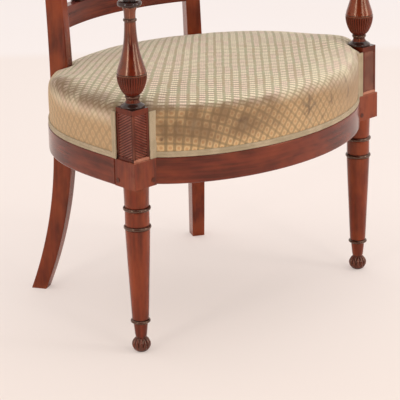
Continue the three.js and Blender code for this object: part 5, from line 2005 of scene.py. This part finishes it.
class Finishes:
    """Every material of the chair."""

    def __init__(self) -> None:
        """Makes the shared groups, and then each finish from them."""
        groups = Groups()

        def wood(name: str, *colours: Colour, grain: Grain = Grain.UPRIGHT, **more) -> bpy.types.Material:
            """One look of the mahogany, from its dark, middle and light colours."""
            return Wood(f"mahogany_{name}", grain, *colours, **more).make(groups)

        self.upright = wood("upright")
        self.rail = wood(
            "rail", (0.05, 0.006, 0.005), (0.115, 0.014, 0.01), (0.25, 0.042, 0.017), grain=Grain.ALONG
        )
        self.along = wood("along", grain=Grain.ALONG)
        self.brown = wood(
            "brown", (0.018, 0.004, 0.003), (0.04, 0.01, 0.007), (0.08, 0.02, 0.013),
            worn=(0.16, 0.06, 0.04), polish=0.9,
        )
        self.foot = wood(
            "foot", (0.03, 0.005, 0.004), (0.1, 0.013, 0.008), (0.21, 0.035, 0.018),
            worn=(0.28, 0.07, 0.04), polish=0.8,
        )
        # Dark wood for the bottoms of the reeds, flutes and gadroons: painted shade. The pegs take it as
        # their own dark colour.
        self.groove = wood(
            "groove", (0.025, 0.003, 0.002), (0.05, 0.006, 0.004), (0.1, 0.014, 0.007),
            worn=(0.1, 0.03, 0.02), polish=0.3,
        )
        self.block = wood(
            "block", (0.03, 0.002, 0.001), (0.07, 0.005, 0.003), (0.17, 0.02, 0.006), polish=0.36
        )
        # Pale mahogany for the seat block's front ledge: a painted highlight, kept pale in its hollow too.
        self.lit_ledge = wood(
            "lit_ledge", (0.3, 0.09, 0.05), (0.42, 0.15, 0.09), (0.5, 0.2, 0.12),
            grime=(0.3, 0.1, 0.06), polish=0.8,
        )
        # Paler wood for the crests of the carved block's reeds: a painted highlight.
        self.crest = wood(
            "crest", (0.07, 0.01, 0.008), (0.13, 0.02, 0.014), (0.22, 0.04, 0.026),
            worn=(0.26, 0.07, 0.05), polish=0.4,
        )
        self.bulb = wood("bulb", (0.04, 0.002, 0.001), (0.09, 0.005, 0.002), (0.27, 0.035, 0.004), polish=1.0)
        self.ebonised = Ebony("ebonised").make(groups)
        self.brass = OldBrass("brass").make(groups)
        self.jute = Sacking("jute", 2.4, (0.36, 0.27, 0.15), (0.3, 0.22, 0.12)).make(groups)
        self.hessian = Sacking("sacking", 1.5, (0.42, 0.32, 0.19), (0.36, 0.27, 0.16)).make(groups)
        self.cover = SeatCover("cover").make(groups)
        self.braid = Braid("braid").make(groups)


# Studio


@dataclass(frozen=True)
class Floor(Finish):
    """The floor: plain, and a little paler from a line well behind the chair on. The camera also sees
    a share of it as a glow of painted light, darker near the camera, so that the chair's shadow is soft and
    pale."""

    near: Colour = (0.905, 0.8, 0.745)
    far: Colour = (0.925, 0.85, 0.83)
    cloudy: Colour = (0.9, 0.8, 0.74)
    # The colours of the glow that only the camera sees: painted light, darker near the camera.
    painted_glow_near: Colour = (0.77, 0.65, 0.58)
    painted_glow_middle: Colour = (0.92, 0.81, 0.76)
    painted_glow_far: Colour = (0.955, 0.865, 0.83)
    painted_glow_share: float = 0.45
    away: float = math.radians(43.02)
    front_line: Row = (-0.7, 0.1)
    back_line: Row = (1.62, 1.72)

    def depth(self, graph: Graph) -> Socket:
        """How far behind the chair's middle a place lies, seen from the camera."""
        return graph.parts(graph.scaled(graph.object_place(), (1, 1, 1), (0, 0, self.away)))[1]

    def surface(self, graph: Graph, groups: Groups | None) -> Surface:
        """The floor's own colour, with faint clouds."""
        cloud = graph.noise(graph.object_place(), 1.4, 3)
        base = graph.blend(graph.span(self.depth(graph), *self.back_line), self.near, self.far)
        base = graph.blend(graph.span(cloud, 0.35, 0.7, 0.0, 0.3), base, self.cloudy)
        return Surface(base, graph.span(cloud, 0.3, 0.7, 0.85, 0.95), None, {"Specular IOR Level": 0.1})

    def seen(self, graph: Graph, shader: Socket) -> Socket:
        """The shader, mixed with a glow that only the camera sees: painted light, darker near the camera."""
        depth = self.depth(graph)
        colour = graph.blend(graph.span(depth, *self.front_line), self.painted_glow_near, self.painted_glow_middle)
        colour = graph.blend(graph.span(depth, *self.back_line), colour, self.painted_glow_far)
        glow = graph.add("ShaderNodeEmission", {"Color": colour}).outputs[0]
        share = graph.times(graph.add("ShaderNodeLightPath").outputs["Is Camera Ray"], self.painted_glow_share)
        return graph.add("ShaderNodeMixShader", {0: share, 1: shader, 2: glow}).outputs[0]


@dataclass(frozen=True)
class Lamp:
    """One soft rectangular lamp, aimed at the seat."""

    name: str
    place: Triple
    size: Row
    power: float
    colour: Colour
    target: Triple = (0, 0, 0.35)

    def build(self) -> None:
        """Sets up the lamp."""
        put_down()
        bpy.ops.object.light_add(type="AREA", location=self.place)
        lamp = bpy.context.object
        lamp.name = self.name
        lamp.data.shape, lamp.data.size, lamp.data.size_y = "RECTANGLE", *self.size
        lamp.data.energy, lamp.data.color = self.power, self.colour
        lamp.rotation_euler = (Vector(self.target) - Vector(self.place)).to_track_quat("-Z", "Y").to_euler()


@dataclass
class Studio:
    """The pale floor, the soft light and the camera."""

    floor_half: float = 14.0
    lamps: tuple[Lamp, ...] = (
        Lamp("overhead", (0.3, -0.5, 2.8), (4.6, 4.6), 24, (1.0, 0.985, 0.97)),
        Lamp("right_strip", (1.46, -2.63, 1.3), (0.6, 1.8), 17, (1.0, 0.96, 0.92)),
        Lamp("front_strip", (-0.47, -3.19, 1.35), (0.6, 1.7), 16, (1.0, 0.96, 0.92)),
        Lamp("left_strip", (-3.17, -0.55, 1.3), (0.65, 1.7), 22, (1.0, 0.97, 0.94)),
    )
    ambient: Row = (1.03, 0.96)
    ambient_colour: Colour = (1.0, 0.985, 0.97)
    room_colour: Colour = (0.97, 0.89, 0.85)
    shade: float = 0.88
    behind: Triple = (-0.652, -0.75, 0.11)
    lens: float = 176.49
    eye: Triple = (-2.2048, -2.37206, 1.2574)
    right: Triple = (0.72596637, -0.6873907, -0.02160696)
    up: Triple = (0.23529388, 0.21873125, 0.94699178)

    def ground(self) -> None:
        """The floor."""
        put_down()
        bpy.ops.mesh.primitive_plane_add(size=2 * self.floor_half, location=(0, 0, 0))
        ground = drawn("studio_floor")
        paint(ground, Floor("studio_floor").make())

    def room(self) -> None:
        """The room's even light: darker behind the camera, and of one colour where it is seen."""
        world = bpy.data.worlds.new("room")
        bpy.context.scene.world = world
        world.use_nodes = True
        graph = Graph(world.node_tree)
        aim = graph.add("ShaderNodeTexCoord").outputs["Generated"]
        behind = graph.add("ShaderNodeVectorMath", {0: aim, 1: self.behind}, operation="DOT_PRODUCT")
        shade = graph.span(behind.outputs["Value"], 0.5, 0.85, 1.0, 1.0 - self.shade)
        level = graph.times(graph.span(graph.parts(aim)[2], 0.55, 0.95, *self.ambient), shade)
        ray = graph.add("ShaderNodeLightPath").outputs
        bright = graph.math("MAXIMUM", ray["Is Camera Ray"], shade)
        glossy = graph.math("MAXIMUM", ray["Is Glossy Ray"], ray["Is Transmission Ray"])
        shown = graph.math("MAXIMUM", ray["Is Camera Ray"], glossy)
        lit, seen = (
            graph.add("ShaderNodeBackground", {"Color": (*colour, 1), "Strength": strength}).outputs[0]
            for colour, strength in ((self.ambient_colour, level), (self.room_colour, bright))
        )
        both = graph.add("ShaderNodeMixShader", {0: shown, 1: lit, 2: seen})
        graph.add("ShaderNodeOutputWorld", {"Surface": both.outputs[0]})

    def camera(self) -> None:
        """The camera, where the photograph was taken from and with its lens."""
        put_down()
        bpy.ops.object.camera_add()
        camera = bpy.context.object
        camera.name = "camera"
        right, up = Vector(self.right), Vector(self.up)
        axes = Matrix((right, up, right.cross(up))).transposed().to_4x4()
        camera.matrix_world = Matrix.Translation(Vector(self.eye)) @ axes
        camera.data.sensor_width, camera.data.lens = 36.0, self.lens
        camera.data.clip_end = 60.0
        bpy.context.scene.camera = camera
        put_down()

    def build(self) -> None:
        """Builds the studio."""
        self.ground()
        for lamp in self.lamps:
            lamp.build()
        self.room()
        self.camera()
        bpy.context.scene.view_settings.view_transform = "Standard"


def main() -> None:
    """Builds the studio and the chair."""
    Studio().build()
    finishes = Finishes()
    for part in (FrontPost, RearPost, SeatFrame, BackFrame, Armrest, Lyre, Cushion, Gimp, Underside):
        log.info("%s", part.__name__)
        part(finishes).build()


if __name__ == "__main__":
    main()
